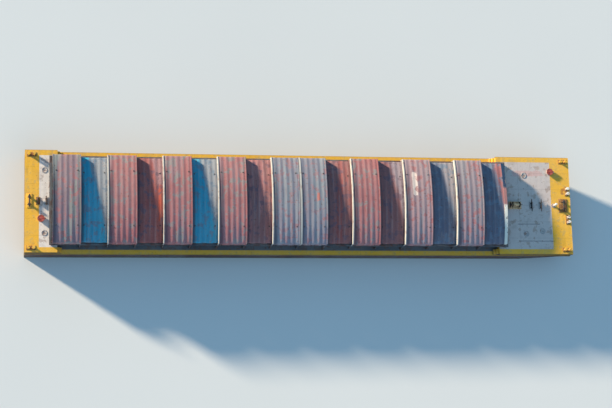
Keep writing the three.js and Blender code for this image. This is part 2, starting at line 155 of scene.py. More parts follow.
class Graph:
    """Adds nodes to one node tree; each call gives back the socket that the next node reads."""

    def __init__(self, tree):
        self.tree = tree

    def node(self, kind, inputs, **settings):
        made = self.tree.nodes.new(kind)
        for setting, value in settings.items():
            setattr(made, setting, value)
        for key, value in inputs.items():
            if isinstance(value, bpy.types.NodeSocket):
                self.tree.links.new(value, made.inputs[key])
            else:
                made.inputs[key].default_value = value
        return made.outputs

    def group(self, tree, inputs):
        return self.node("ShaderNodeGroup", inputs, node_tree=tree)

    def maths(self, operation, first, second=0.0):
        return self.node("ShaderNodeMath", {0: first, 1: second}, operation=operation)[0]

    def both(self, *masks):
        product = masks[0]
        for mask in masks[1:]:
            product = self.maths("MULTIPLY", product, mask)
        return product

    def either(self, *masks):
        most = masks[0]
        for mask in masks[1:]:
            most = self.maths("MAXIMUM", most, mask)
        return most

    def inverse(self, mask):
        return self.maths("SUBTRACT", 1.0, mask)

    def noise(self, vector, scale, detail=4.0, roughness=0.55):
        inputs = {"Vector": vector, "Scale": scale, "Detail": detail, "Roughness": roughness}
        return self.node("ShaderNodeTexNoise", inputs)["Fac"]

    def rise(self, value, low, high):
        """0 below low, 1 above high, smooth between."""
        inputs = {0: value, 1: low, 2: high, 3: 0.0, 4: 1.0}
        return self.node("ShaderNodeMapRange", inputs, interpolation_type="SMOOTHSTEP")[0]

    def fall(self, value, low, high):
        return self.inverse(self.rise(value, low, high))

    def blend(self, factor, first, second, kind="MIX"):
        inputs = {0: factor, 6: linear(first), 7: linear(second)}
        return self.node("ShaderNodeMix", inputs, data_type="RGBA", blend_type=kind)[2]

    def over(self, under, paint, share, *masks):
        """Lays a paint over a colour, by its share, where all the masks are."""
        return self.blend(self.both(*masks, share), under, paint)

    def lerp(self, factor, first, second):
        return self.node("ShaderNodeMix", {0: factor, 2: first, 3: second}, data_type="FLOAT")[0]

    def scaled(self, vector, factors):
        return self.node("ShaderNodeVectorMath", {0: vector, 1: factors}, operation="MULTIPLY")[0]

    def moved(self, vector, offset):
        return self.node("ShaderNodeVectorMath", {0: vector, 1: offset}, operation="ADD")[0]

    def split(self, vector):
        return self.node("ShaderNodeSeparateXYZ", {0: vector})


NUMBER, COLOUR, VECTOR = "NodeSocketFloat", "NodeSocketColor", "NodeSocketVector"


def new_group(name, inputs, outputs):
    tree = bpy.data.node_groups.new(name, "ShaderNodeTree")
    for label, kind in inputs.items():
        tree.interface.new_socket(label, in_out="INPUT", socket_type=kind)
    for label, kind in outputs.items():
        tree.interface.new_socket(label, in_out="OUTPUT", socket_type=kind)
    given = tree.nodes.new("NodeGroupInput").outputs
    sink = tree.nodes.new("NodeGroupOutput").inputs
    return Graph(tree), given, lambda label, socket: tree.links.new(socket, sink[label])


def make_weathering():
    """Paint that fades in clouds, wears to its undercoat in patches, and rusts in spots."""
    graph, given, give = new_group(
        "weathering",
        {"Vector": VECTOR, "Paint": COLOUR, "Undercoat": COLOUR, "Rust": COLOUR, "Wear": NUMBER,
         "Fading": NUMBER},
        {"Colour": COLOUR, "Roughness": NUMBER, "Height": NUMBER})
    vector = given["Vector"]
    broad = graph.noise(vector, 0.55, 3.0)
    clouds = graph.noise(vector, 2.6, 6.0, 0.62)
    spots = graph.noise(vector, 11.0, 7.0, 0.7)
    grain = graph.noise(vector, 70.0, 2.0)
    chalk = graph.blend(0.55, given["Paint"], grey(205))
    faded = graph.both(graph.rise(broad, 0.3, 0.7), given["Fading"])
    colour = graph.blend(faded, given["Paint"], chalk)
    colour = graph.blend(1.0, colour, graph.lerp(clouds, 0.82, 1.16), "MULTIPLY")
    reach = graph.both(given["Wear"], 0.3)
    patches = graph.rise(graph.maths("ADD", clouds, reach), 0.66, 0.71)
    colour = graph.over(colour, given["Undercoat"], 0.75, patches)
    rusted = graph.rise(graph.maths("ADD", spots, reach), 0.71, 0.78)
    colour = graph.over(colour, given["Rust"], 0.85, rusted)
    give("Colour", graph.blend(1.0, colour, graph.lerp(grain, 0.93, 1.07), "MULTIPLY"))
    give("Roughness", graph.maths("ADD", graph.lerp(spots, 0.56, 0.78), graph.both(rusted, 0.18)))
    raised = graph.maths("SUBTRACT", graph.both(grain, 0.12), graph.both(patches, 0.35))
    give("Height", graph.maths("ADD", raised, graph.both(rusted, 0.5)))
    return graph.tree


def make_runs():
    """Streaks that run one way: the vector comes in already stretched along them."""
    graph, given, give = new_group("runs", {"Vector": VECTOR, "Amount": NUMBER}, {"Mask": NUMBER})
    thin = graph.noise(given["Vector"], 4.0, 5.0, 0.6)
    wide = graph.noise(given["Vector"], 1.1, 2.0)
    level = graph.maths("SUBTRACT", 0.74, graph.both(given["Amount"], 0.26))
    mask = graph.rise(thin, level, graph.maths("ADD", level, 0.12))
    give("Mask", graph.both(mask, graph.rise(wide, 0.36, 0.6)))
    return graph.tree


def make_seams():
    """Welded seams along one coordinate: a thin bead every spacing."""
    graph, given, give = new_group(
        "seams", {"Along": NUMBER, "Spacing": NUMBER, "Width": NUMBER}, {"Mask": NUMBER})
    cell = graph.maths("DIVIDE", given["Along"], given["Spacing"])
    off = graph.maths("ABSOLUTE", graph.maths("SUBTRACT", graph.maths("FRACT", cell), 0.5))
    away = graph.both(graph.maths("SUBTRACT", 0.5, off), given["Spacing"])
    give("Mask", graph.fall(away, graph.both(given["Width"], 0.4), given["Width"]))
    return graph.tree


def make_zone():
    """A painted zone between two values of a coordinate, with an edge that wanders a little."""
    soft = 0.008
    graph, given, give = new_group(
        "zone", {"Vector": VECTOR, "Value": NUMBER, "From": NUMBER, "To": NUMBER, "Ragged": NUMBER},
        {"Mask": NUMBER})
    wander = graph.maths("SUBTRACT", graph.noise(given["Vector"], 5.0, 6.0, 0.7), 0.5)
    value = graph.maths("ADD", given["Value"], graph.both(wander, given["Ragged"]))
    edges = [(graph.maths("SUBTRACT", given[edge], soft), graph.maths("ADD", given[edge], soft))
             for edge in ("From", "To")]
    give("Mask", graph.both(graph.rise(value, *edges[0]), graph.fall(value, *edges[1])))
    return graph.tree


WEATHERING = make_weathering()
RUNS = make_runs()
SEAMS = make_seams()
ZONE = make_zone()

# Colours that several materials use, as display values
RUST = (112, 66, 44)
DARK_RUST = (72, 48, 38)
PRIMER = (128, 74, 62)
YELLOW = (236, 179, 60)
# FAR is past the barge's ends, for a zone that goes on to one
FAR = 200.0
BUMP_STRENGTH = 0.6
SPECULAR = 0.25


class Finish(Graph):
    """One material in the making. Its patterns read the object's own coordinates."""

    def __init__(self, name):
        self.material = bpy.data.materials.new(name)
        self.material.use_nodes = True
        super().__init__(self.material.node_tree)
        self.coordinates = self.node("ShaderNodeTexCoord", {})
        self.place = self.coordinates["Object"]

    @cached_property
    def metres(self):
        """The point on the real barge, as x, y and z."""
        return self.split(self.finer(1 / SCALE))

    x = property(lambda self: self.metres[0])
    y = property(lambda self: self.metres[1])
    z = property(lambda self: self.metres[2])

    @cached_property
    def up(self):
        """1 where a face looks up, 0 where it's upright, -1 where it looks down."""
        return self.split(self.coordinates["Normal"])[2]

    def finer(self, times):
        return self.scaled(self.place, (times, times, times))

    def patches(self, stretch, scale, low, high, detail=4.0, roughness=0.55):
        """Patches of stretched noise, with an edge that is soft from low to high."""
        return self.rise(self.noise(self.scaled(self.place, stretch), scale, detail, roughness), low, high)

    def runs(self, stretch, amount, offset=(0.0, 0.0, 0.0)):
        vector = self.moved(self.scaled(self.place, stretch), offset)
        return self.group(RUNS, {"Vector": vector, "Amount": amount})["Mask"]

    def seams(self, along, spacing, width):
        return self.group(SEAMS, {"Along": along, "Spacing": spacing, "Width": width})["Mask"]

    def zone(self, value, start, end, ragged=0.0, vector=None):
        inputs = {"Vector": vector or self.place, "Value": value, "From": start, "To": end, "Ragged": ragged}
        return self.group(ZONE, inputs)["Mask"]

    def mark(self, under, row, vector=None):
        """Lays one row of a table of marks over a colour."""
        x_from, x_to, x_ragged, y_from, y_to, y_ragged, paint, share = row
        return self.over(under, paint, share, self.zone(self.x, x_from, x_to, x_ragged, vector),
                         self.zone(self.y, y_from, y_to, y_ragged, vector))

    def weathered(self, paint, undercoat, wear, fading, rust=RUST, vector=None):
        return self.group(WEATHERING, {
            "Vector": vector or self.place, "Paint": linear(paint), "Undercoat": linear(undercoat),
            "Rust": linear(rust), "Wear": wear, "Fading": fading})

    def done(self, colour, roughness, height, bump=0.006, metallic=None):
        relief = self.node("ShaderNodeBump", {
            "Strength": BUMP_STRENGTH, "Distance": bump, "Height": height})[0]
        inputs = self.tree.nodes["Principled BSDF"].inputs
        inputs["Specular IOR Level"].default_value = SPECULAR
        wires = {"Base Color": colour, "Roughness": roughness, "Metallic": metallic, "Normal": relief}
        for socket, source in wires.items():
            if source:
                self.tree.links.new(source, inputs[socket])
        return self.material


def painted(name, paint, undercoat, wear, fading):
    """A plain coat for fittings, with wear at a third of the hull's size."""
    graph = Finish(name)
    coat = graph.weathered(paint, undercoat, wear, fading, vector=graph.finer(3.0))
    return graph.done(coat["Colour"], coat["Roughness"], coat["Height"], 0.003)


# Hull paint: dark sides, grey decks, yellow borders
BOW_BAND = 27.75
STERN_BAND = -28.5
END_BORDER = 4.9
SIDE_BORDER = 5.0
PLATE_LONG = 6.0
PLATE_WIDE = 1.83
FRAME_SPACING = 0.6
RUB_RAILS = [(SIDE_DECK - 0.34, SIDE_DECK - 0.1), (END_DECK - 0.34, END_DECK - 0.1)]
# Rubbed dark lines, a washed strip and a stain on the fore deck.
# Columns: from x, to x, how ragged, from y, to y, how ragged, colour, share
DECK_MARKS = [
    (23.8, 26.3, 0.2, -2.15, -2.05, 0.1, (86, 84, 92), 0.55),
    (23.8, 27.9, 0.2, -4.05, -3.95, 0.1, (86, 84, 92), 0.55),
    (23.4, 26.9, 1.6, 3.3, 3.95, 0.8, (206, 150, 146), 0.45),
    (28.95, 29.3, 1.0, 1.25, 2.0, 1.4, (150, 84, 52), 0.6),
]


def side_coat(graph):
    """The outside: dark paint, rust runs, scrapes, dried mud, and weed at the waterline."""
    coat = graph.weathered((70, 56, 54), (100, 62, 52), 0.55, 0.25)
    colour = graph.over(coat["Colour"], (122, 76, 54), 0.7, graph.runs((1.6, 1.6, 0.16), 0.7))
    colour = graph.over(colour, (150, 142, 132), 0.4, graph.runs((2.3, 2.3, 0.12), 0.35, (7.0, 3.0, 5.0)))
    muddy = graph.maths("ADD", graph.z, graph.both(graph.noise(graph.place, 1.3, 6.0, 0.7), 0.5))
    colour = graph.over(colour, (96, 88, 72), 0.8, graph.fall(muddy, 0.84, 1.24))
    weedy = graph.maths("ADD", graph.z, graph.both(graph.noise(graph.place, 3.5, 6.0, 0.7), 0.24))
    colour = graph.over(colour, (70, 76, 48), 0.75, graph.fall(weedy, 0.56, 0.72))
    scuffs = graph.patches((0.5, 0.5, 7.0), 2.4, 0.62, 0.7, 6.0, 0.7)
    colour = graph.over(colour, (140, 128, 120), 0.45, scuffs)
    rails = graph.either(*(graph.zone(graph.z, low, high) for low, high in RUB_RAILS))
    proud = graph.rise(graph.maths("ABSOLUTE", graph.y), SIDE + 0.016, SIDE + 0.04)
    rubbed = graph.patches((0.8, 1.0, 6.0), 3.0, 0.4, 0.6, 5.0)
    return graph.over(colour, (148, 110, 92), 0.8, rails, proud, rubbed), coat


def hold_coat(graph):
    """The hold: bare steel with rust, cargo dust and the grab's scrapes."""
    coat = graph.weathered((118, 84, 68), (96, 66, 54), 0.5, 0.3, DARK_RUST)
    scrapes = graph.patches((0.7, 3.0, 3.0), 2.2, 0.56, 0.66, 6.0, 0.7)
    colour = graph.over(coat["Colour"], (150, 132, 118), 0.5, scrapes)
    dust = graph.rise(graph.noise(graph.place, 0.9, 5.0, 0.6), 0.45, 0.75)
    return graph.over(colour, (164, 140, 108), 0.5, dust)


def deck_coat(graph, on_end, yellow):
    """The decks: grey ends with a pale strip aft, side decks darkened as painted shade from the coaming and
    covers, yellow borders, tread marks and drains.
    """
    grey_coat = graph.weathered((200, 186, 182), (170, 150, 140), 0.32, 0.5)
    # Painted shade: the side decks' grey is darkened for the shade of the coaming and covers.
    shaded_side_coat = graph.weathered((88, 92, 98), (112, 92, 84), 0.45, 0.25)
    pale_coat = graph.weathered((226, 216, 210), (176, 158, 150), 0.34, 0.3)
    off = graph.maths("ABSOLUTE", graph.y)
    fore_band = graph.zone(graph.x, BOW_BAND, FAR, 0.06)
    aft_band = graph.zone(graph.x, -FAR, STERN_BAND, 0.06)
    bands = graph.either(fore_band, aft_band, graph.rise(off, END_BORDER - 0.02, END_BORDER + 0.02))
    edge = graph.rise(off, SIDE_BORDER - 0.02, SIDE_BORDER + 0.02)
    colour = graph.blend(on_end, shaded_side_coat["Colour"], grey_coat["Colour"])
    aft = graph.both(on_end, graph.zone(graph.x, -FAR, HATCH_AFT))
    colour = graph.blend(aft, colour, pale_coat["Colour"])
    colour = graph.blend(graph.either(edge, graph.both(on_end, bands)), colour, yellow)
    trodden = graph.patches((0.9, 0.9, 0.9), 1.6, 0.52, 0.72, 7.0, 0.75)
    colour = graph.over(colour, (142, 128, 116), 0.36, trodden)
    colour = graph.over(colour, (140, 96, 72), 0.4, graph.runs((1.5, 0.25, 1.0), 0.4))
    for row in DECK_MARKS:
        colour = graph.mark(colour, row)
    return colour, grey_coat


def dents(graph, deck):
    """Plating pressed in between its frames, more in some bays than in others."""
    bay = graph.maths("SINE", graph.both(graph.x, math.tau / FRAME_SPACING))
    pressed = graph.patches((0.7, 0.7, 1.4), 0.9, 0.35, 0.7, 3.0)
    knocks = graph.noise(graph.scaled(graph.place, (0.8, 0.8, 1.6)), 1.5, 3.0)
    shallow = graph.lerp(deck, 1.0, 0.35)
    return graph.both(graph.maths("ADD", graph.both(bay, pressed, 0.9), graph.both(knocks, 2.4)), shallow)


def hull_material():
    graph = Finish("hull_paint_worn")
    off = graph.maths("ABSOLUTE", graph.y)
    from_middle = graph.maths("ABSOLUTE", graph.maths("SUBTRACT", graph.x, (HATCH_AFT + HATCH_FORE) / 2))
    past_hatch = graph.rise(from_middle, HATCH_LONG / 2 + 0.04, HATCH_LONG / 2 + 0.08)
    outside = graph.either(graph.rise(off, SIDE - 0.12, SIDE - 0.08), past_hatch)
    deck = graph.both(graph.rise(graph.up, 0.5, 0.7), graph.rise(graph.z, SIDE_DECK - 0.3, SIDE_DECK - 0.2))
    on_end = graph.rise(graph.z, SIDE_DECK + 0.1, SIDE_DECK + 0.2)

    yellow = graph.weathered(YELLOW, (206, 168, 96), 0.34, 0.12, vector=graph.finer(1.6))["Colour"]
    side, side_paint = side_coat(graph)
    wall = graph.blend(outside, hold_coat(graph), side)
    shoulder = graph.both(graph.fall(off, SIDE - 0.06, SIDE - 0.04), on_end)
    wall = graph.blend(shoulder, wall, yellow)
    decking, deck_paint = deck_coat(graph, on_end, yellow)

    on_walls = graph.seams(graph.z, PLATE_WIDE, 0.024)
    on_decks = graph.seams(graph.y, PLATE_WIDE, 0.024)
    seam = graph.either(graph.seams(graph.x, PLATE_LONG, 0.028), graph.lerp(deck, on_walls, on_decks))
    colour = graph.over(graph.blend(deck, wall, decking), DARK_RUST, 0.22, seam)
    height = graph.lerp(deck, side_paint["Height"], deck_paint["Height"])
    height = graph.maths("ADD", graph.maths("ADD", height, graph.both(seam, 0.8)), dents(graph, deck))
    rough = graph.lerp(deck, side_paint["Roughness"], deck_paint["Roughness"])
    return graph.done(colour, rough, height, 0.008)


def coaming_material():
    """Dark grey with rust runs, its grey darkened as painted shade from the covers, browner at its foot,
    rubbed on top, and dark blue-grey on top at the hatch's aft end.
    """
    graph = Finish("coaming_paint_worn")
    # Painted shade: the grey is darker than the coaming's own paint, for the shade of the covers.
    coat = graph.weathered((86, 88, 96), (112, 78, 68), 0.5, 0.25)
    colour = graph.over(coat["Colour"], (124, 78, 56), 0.7, graph.runs((2.2, 2.2, 0.2), 0.75))
    over_deck = graph.maths("ADD", graph.z, graph.both(graph.noise(graph.place, 4.0, 5.0), 0.2))
    colour = graph.over(colour, (88, 62, 50), 0.55, graph.fall(over_deck, SIDE_DECK + 0.12, SIDE_DECK + 0.28))
    top = graph.rise(graph.up, 0.5, 0.7)
    aft = graph.zone(graph.x, -FAR, HATCH_AFT)
    # Dark blue-grey on top at the hatch's aft end.
    aft_top_dark_coat = graph.weathered((52, 60, 72), (84, 70, 66), 0.4, 0.3)
    colour = graph.blend(graph.both(top, aft), colour, aft_top_dark_coat["Colour"])
    rubbed = graph.patches((0.6, 6.0, 1.0), 3.0, 0.45, 0.6, 5.0)
    colour = graph.over(colour, (150, 142, 138), 0.4, top, rubbed, graph.inverse(aft))
    return graph.done(colour, coat["Roughness"], coat["Height"], 0.005)


# Paints of the covers, as seen in plain light; some pairs are a shaded and a lit copy of one paint
PAINTS = {
    "rose": (160, 104, 106), "dusty": (150, 114, 120), "pink": (158, 132, 138), "fog": (130, 132, 132),
    "brick": (150, 82, 80), "russet": (138, 92, 94), "plum": (106, 84, 98), "mauve": (130, 110, 120),
    "haze": (142, 128, 138), "ash": (126, 126, 140), "mist": (134, 140, 150), "slate": (98, 102, 122),
    "teal": (46, 150, 182), "steel": (104, 122, 142), "dove": (140, 134, 142),
}
# Cover coats. Columns: level, slot, main paint, second paint, bare patches, share of patches, and where
# the second paint is: in streaks (None), or fore of this share of the cover's length, at its middle, as a
# painted lit copy of a main paint that is its painted shaded copy
COVERS = [
    ("high", "cover_mauve", "mauve", "fog", "rose", 0.40, None),
    ("low", "cover_blue", "teal", "mist", "steel", 0.18, 0.66),
    ("high", "cover_red", "rose", "dusty", "fog", 0.35, None),
    ("low", "cover_red", "brick", "dusty", "plum", 0.40, 0.9),
    ("high", "cover_red", "rose", "dusty", "fog", 0.45, None),
    ("low", "cover_blue", "teal", "mist", "steel", 0.16, 0.70),
    ("high", "cover_red", "rose", "dusty", "fog", 0.35, None),
    ("low", "cover_red", "russet", "rose", "plum", 0.45, None),
    ("high", "cover_pale", "ash", "mist", "dusty", 0.40, None),
    ("high", "cover_pale", "ash", "mist", "dusty", 0.30, None),
    ("low", "cover_red", "russet", "brick", "plum", 0.40, None),
    ("high", "cover_red", "rose", "dusty", "fog", 0.30, None),
    ("low", "cover_red", "russet", "haze", "plum", 0.50, 0.84),
    ("high", "cover_mauve", "pink", "dove", "rose", 0.40, None),
    ("low", "cover_blue", "slate", "dove", "steel", 0.45, 0.8),
    ("high", "cover_mauve", "haze", "dove", "rose", 0.40, None),
    ("low", "cover_blue", "slate", "rose", "steel", 0.50, 0.84),
]
# The share of a cover's length by which the second paint's edge moves aft, for each metre to port, so that
# the painted lit copy begins along the shadow's edge
LIT_COPY_SLANT = 0.075
# A scrape, a stain and a repair that stand out, by cover. Columns as in DECK_MARKS
COVER_MARKS = {
    4: (-16.15, -15.75, 0.32, -2.3, 1.5, 1.0, (176, 76, 56), 0.85),
    10: (0.74, 1.06, 0.32, -0.15, 0.75, 1.0, (196, 112, 98), 0.85),
    14: (11.32, 11.88, 0.32, 0.65, 3.15, 1.0, (232, 214, 204), 0.85),
}
# Painted light: a factor on each channel that lightens the high covers' starboard half, which turns away from
# the key lamp
STARBOARD_PAINTED_LIGHT = (1.28, 1.12, 1.1, 1.0)


def cover_material(number):
    """A cover's own coat: two paints, on some low covers a shaded and a lit copy of one paint, and bare
    patches, then wear on the rib crests, darker valleys, painted shade at the aft end, runs, and painted
    light on the high covers' starboard half.
    """
    level, _, main, second, bare, share, lit_copy_from = COVERS[number - 1]
    graph = Finish(f"cover_coat_{number:02d}")
    flow = graph.scaled(graph.place, (1.0, 0.09, 0.3))
    stripes = graph.noise(flow, 2.7, 4.0, 0.6)
    along = graph.maths("DIVIDE", graph.maths("SUBTRACT", graph.x, HATCH_AFT + (number - 1) * PITCH), PITCH)
    if lit_copy_from is None:
        second_or_lit_copy = graph.rise(stripes, 0.5, 0.58)
    else:
        # Painted light and shade: fore of an edge that slants like the shadow's edge, the second paint is a
        # lit copy of the main one, which is its shaded copy.
        wandering = graph.maths("ADD", along, graph.both(graph.maths("SUBTRACT", stripes, 0.5), 0.5))
        slanting = graph.maths("ADD", wandering, graph.both(graph.y, LIT_COPY_SLANT))
        second_or_lit_copy = graph.rise(slanting, lit_copy_from - 0.08, lit_copy_from + 0.08)
    paint = graph.blend(second_or_lit_copy, PAINTS[main], PAINTS[second])
    drifting = graph.moved(graph.scaled(graph.place, (1.0, 0.22, 0.3)), (3.1 * number, 0.7, 0.0))
    from_drift = 0.66 - 0.2 * share
    drifts = graph.rise(graph.noise(drifting, 2.1, 6.0, 0.68), from_drift, from_drift + 0.13)
    paint = graph.over(paint, PAINTS[bare], 0.8, drifts)
    if number in COVER_MARKS:
        paint = graph.mark(paint, COVER_MARKS[number], graph.moved(graph.place, (0.37, 0.11, 0.0)))
    coat = graph.weathered(paint, PAINTS[bare], 0.42, 0.12)

    rib = graph.maths("FRACT", graph.maths("DIVIDE", graph.maths("SUBTRACT", graph.x, HATCH_AFT), RIB_PITCH))
    from_crest = graph.maths("ABSOLUTE", graph.maths("SUBTRACT", rib, 0.5))
    rubbed = graph.rise(graph.noise(flow, 5.0, 6.0, 0.7), 0.42, 0.62)
    colour = graph.over(coat["Colour"], (186, 166, 162), 0.2, graph.fall(from_crest, 0.1, 0.2), rubbed)
    # Darker in patches in the valleys between the ribs.
    valley_patches = graph.rise(graph.noise(flow, 3.3, 5.0), 0.3, 0.7)
    colour = graph.over(colour, (88, 70, 70), 0.14, graph.rise(from_crest, 0.24, 0.42), valley_patches)
    # Painted shade: dark blue-grey at each cover's aft end, stronger from the middle to starboard.
    painted_shade_aft = graph.both(graph.fall(along, 0.1, 0.19), graph.fall(graph.y, 1.0, 4.6))
    colour = graph.over(colour, (46, 54, 70), 0.62, painted_shade_aft)
    colour = graph.over(colour, (128, 78, 60), 0.55, graph.runs((2.4, 0.16, 0.4), 0.6))
    colour = graph.over(colour, (180, 164, 162), 0.36, graph.runs((3.4, 0.2, 0.5), 0.5, (1.7, 4.0, 2.0)))
    skirt = graph.fall(graph.maths("ABSOLUTE", graph.up), 0.2, 0.5)
    colour = graph.over(colour, (104, 66, 52), 0.6, skirt, graph.runs((2.6, 2.6, 0.25), 0.7))
    if level == "high":
        # Painted light: the starboard half, turned away from the key lamp, is lightened.
        colour = graph.blend(graph.fall(graph.y, -3.6, 1.0), colour, STARBOARD_PAINTED_LIGHT, "MULTIPLY")
    return graph.done(colour, coat["Roughness"], coat["Height"], 0.004)


def end_bar_material():
    """Pale paint with brown runs for the high covers' aft end bars and plates: partly paint, partly a painted
    highlight of the aft faces that face the key lamp.
    """
    graph = Finish("end_bar_pale_paint_and_highlight")
    vector = graph.scaled(graph.place, (2.0, 0.8, 2.0))
    coat = graph.weathered((184, 180, 175), (158, 130, 122), 0.35, 0.2, vector=vector)
    colour = graph.over(coat["Colour"], (138, 96, 78), 0.6, graph.runs((1.0, 1.8, 0.4), 0.6))
    return graph.done(colour, coat["Roughness"], coat["Height"])


def fore_bar_material():
    """The last cover's fore end bar: pale to starboard, rosy in the middle, navy to port."""
    graph = Finish("fore_bar_paint")
    paint = graph.blend(graph.rise(graph.y, -0.4, -0.1), (232, 228, 218), (160, 112, 112))
    paint = graph.blend(graph.rise(graph.y, 1.5, 1.8), paint, (22, 56, 88))
    vector = graph.scaled(graph.place, (2.0, 1.0, 2.0))
    coat = graph.weathered(paint, (120, 112, 110), 0.3, 0.1, vector=vector)
    return graph.done(coat["Colour"], coat["Roughness"], coat["Height"])


def post_coat(name, paint):
    """Paint on bitts and posts, worn through in a band around them and browner at the foot."""
    graph = Finish(name)
    fine = graph.finer(3.0)
    coat = graph.weathered(paint, PRIMER, 0.42, 0.15, vector=fine)
    band = graph.zone(graph.z, END_DECK + 0.14, END_DECK + 0.38, 0.12, fine)
    worn = graph.patches((8.0, 8.0, 20.0), 2.0, 0.36, 0.55, 5.0)
    colour = graph.over(coat["Colour"], (112, 92, 80), 0.8, band, worn)
    colour = graph.over(colour, (120, 84, 64), 0.4, graph.fall(graph.z, END_DECK + 0.02, END_DECK + 0.14))
    return graph.done(colour, coat["Roughness"], coat["Height"])


def steel_material():
    """Handled steel: grey with brown bloom, brighter where it rubs."""
    graph = Finish("rubbed_steel")
    coat = graph.weathered((122, 120, 118), DARK_RUST, 0.5, 0.1, vector=graph.finer(4.0))
    shine = graph.both(graph.patches((6.0, 6.0, 6.0), 3.0, 0.35, 0.65, 5.0), 0.6)
    return graph.done(coat["Colour"], coat["Roughness"], coat["Height"], 0.002, shine)


def rubber_material():
    graph = Finish("rubber_seal")
    scuff = graph.noise(graph.finer(5.0), 4.0, 6.0, 0.7)
    colour = graph.blend(graph.rise(scuff, 0.4, 0.7), grey(34), (74, 72, 70))
    return graph.done(colour, graph.lerp(scuff, 0.7, 0.9), scuff, 0.002)


hull_paint = hull_material()
coaming_paint = coaming_material()
# Pale end bars: paint and a painted highlight.
bar_paint = end_bar_material()
fore_bar_paint = fore_bar_material()
dark_paint = painted("dark_fittings", (44, 42, 44), (92, 62, 52), 0.4, 0.1)
grey_paint = painted("deck_grey_fittings", (176, 170, 170), (140, 112, 100), 0.4, 0.3)
yellow_paint = painted("yellow_fittings", YELLOW, (190, 150, 90), 0.42, 0.1)
worn_paint = painted("doubler_plate_paint", (170, 128, 66), (120, 84, 62), 0.7, 0.1)
cream_paint = painted("winch_bed_paint", (226, 190, 146), (150, 108, 80), 0.4, 0.1)
red_paint = painted("red_lid_paint", (168, 62, 52), (122, 74, 62), 0.4, 0.25)
yellow_post = post_coat("yellow_bitt_paint", YELLOW)
white_post = post_coat("white_post_paint", (232, 228, 220))
steel = steel_material()
rubber = rubber_material()


# Shapes, each its own small bmesh
def box_shape(low, high, bevel, segments=2):
    shape = bmesh.new()
    low, high = Vector(low), Vector(high)
    bmesh.ops.create_cube(shape, size=1)
    bmesh.ops.scale(shape, vec=high - low, verts=shape.verts)
    bmesh.ops.translate(shape, vec=(high + low) / 2, verts=shape.verts)
    round_edges(shape, bevel, segments)
    return shape


def slab_shape(half_long, half_wide, foot, top, bevel, segments=2):
    """A box that is centred over the origin."""
    return box_shape((-half_long, -half_wide, foot), (half_long, half_wide, top), bevel, segments)


def round_edges(shape, width, segments=2, over=math.radians(30)):
    sharp = [edge for edge in shape.edges if len(edge.link_faces) == 2 and edge.calc_face_angle() > over]
    bmesh.ops.bevel(shape, geom=sharp, offset=width, segments=segments, profile=0.5, affect="EDGES",
                    material=-1, clamp_overlap=True)


def symmetric(*upper, closed=False):
    """A profile that mirrors its upper half, which is given from its top end towards the middle."""
    below = [(radius, -height) for radius, height in upper]
    above = [(radius, height) for radius, height in reversed(upper) if height]
    return below + above + (below[:1] if closed else [])


def turned_shape(profile, steps):
    """A profile of (radius, height) points turned round the Z axis."""
    shape = bmesh.new()
    verts = [shape.verts.new((radius, 0, height)) for radius, height in profile]
    edges = [shape.edges.new(pair) for pair in zip(verts, verts[1:])]
    bmesh.ops.spin(shape, geom=verts + edges, cent=(0, 0, 0), axis=(0, 0, 1), dvec=(0, 0, 0),
                   angle=math.tau, steps=steps, use_merge=True)
    return shape


def ring_shape(radius, thick, steps, sides):
    """A ring round the Z axis."""
    shape = bmesh.new()
    circle = bmesh.ops.create_circle(shape, segments=sides, radius=thick)["verts"]
    bmesh.ops.rotate(shape, verts=circle, cent=(0, 0, 0), matrix=Matrix.Rotation(math.pi / 2, 3, "X"))
    bmesh.ops.translate(shape, verts=circle, vec=(radius, 0, 0))
    bmesh.ops.spin(shape, geom=shape.verts[:] + shape.edges[:], cent=(0, 0, 0), axis=(0, 0, 1),
                   dvec=(0, 0, 0), angle=math.tau, steps=steps, use_merge=True)
    return shape


def carried(shape, faces, by):
    """Faces carried along X into a solid."""
    made = bmesh.ops.extrude_face_region(shape, geom=faces)["geom"]
    moved = [item for item in made if isinstance(item, bmesh.types.BMVert)]
    bmesh.ops.translate(shape, verts=moved, vec=(by, 0, 0))
    return shape


def plate_shape(outline, start, end, bevel=0.0):
    """A flat outline of (y, z) points, carried along X."""
    shape = bmesh.new()
    face = shape.faces.new([shape.verts.new((start, across, up)) for across, up in outline])
    carried(shape, [face], end - start)
    bmesh.ops.recalc_face_normals(shape, faces=shape.faces)
    if bevel:
        round_edges(shape, bevel)
    return shape


def gusset_shape(reach, high, thick):
    """A triangular bracket in the XZ plane, its corner at the origin."""
    shape = plate_shape([(0, 0), (reach, 0), (0, high)], -thick / 2, thick / 2)
    bmesh.ops.rotate(shape, verts=shape.verts, cent=(0, 0, 0), matrix=Matrix.Rotation(-math.pi / 2, 3, "Z"))
    return shape


def rod_shape(points, radius):
    """A round bar that follows points, with smooth bends."""
    curve = bpy.data.curves.new("rod", "CURVE")
    curve.dimensions = "3D"
    curve.bevel_depth = radius
    curve.bevel_resolution = 2
    curve.use_fill_caps = True
    curve.resolution_u = 4
    spline = curve.splines.new("NURBS")
    spline.points.add(len(points) - 1)
    for knot, point in zip(spline.points, points):
        knot.co = (*point, 1)
    spline.order_u = 3
    spline.use_endpoint_u = True
    holder = bpy.data.objects.new("rod", curve)
    mesh = bpy.data.meshes.new_from_object(holder)
    shape = bmesh.new()
    shape.from_mesh(mesh)
    bpy.data.objects.remove(holder)
    bpy.data.curves.remove(curve)
    bpy.data.meshes.remove(mesh)
    return shape


def grip_line(reach, bend, foot, top):
    """A handle's (along, out) points."""
    return [(-reach, foot), (-reach, top), (-bend, top), (bend, top), (reach, top), (reach, foot)]


def bolt_shape(radius, high):
    return turned_shape([(0, 0), (radius, 0), (radius, high * 0.7), (radius * 0.8, high), (0, high)], 6)


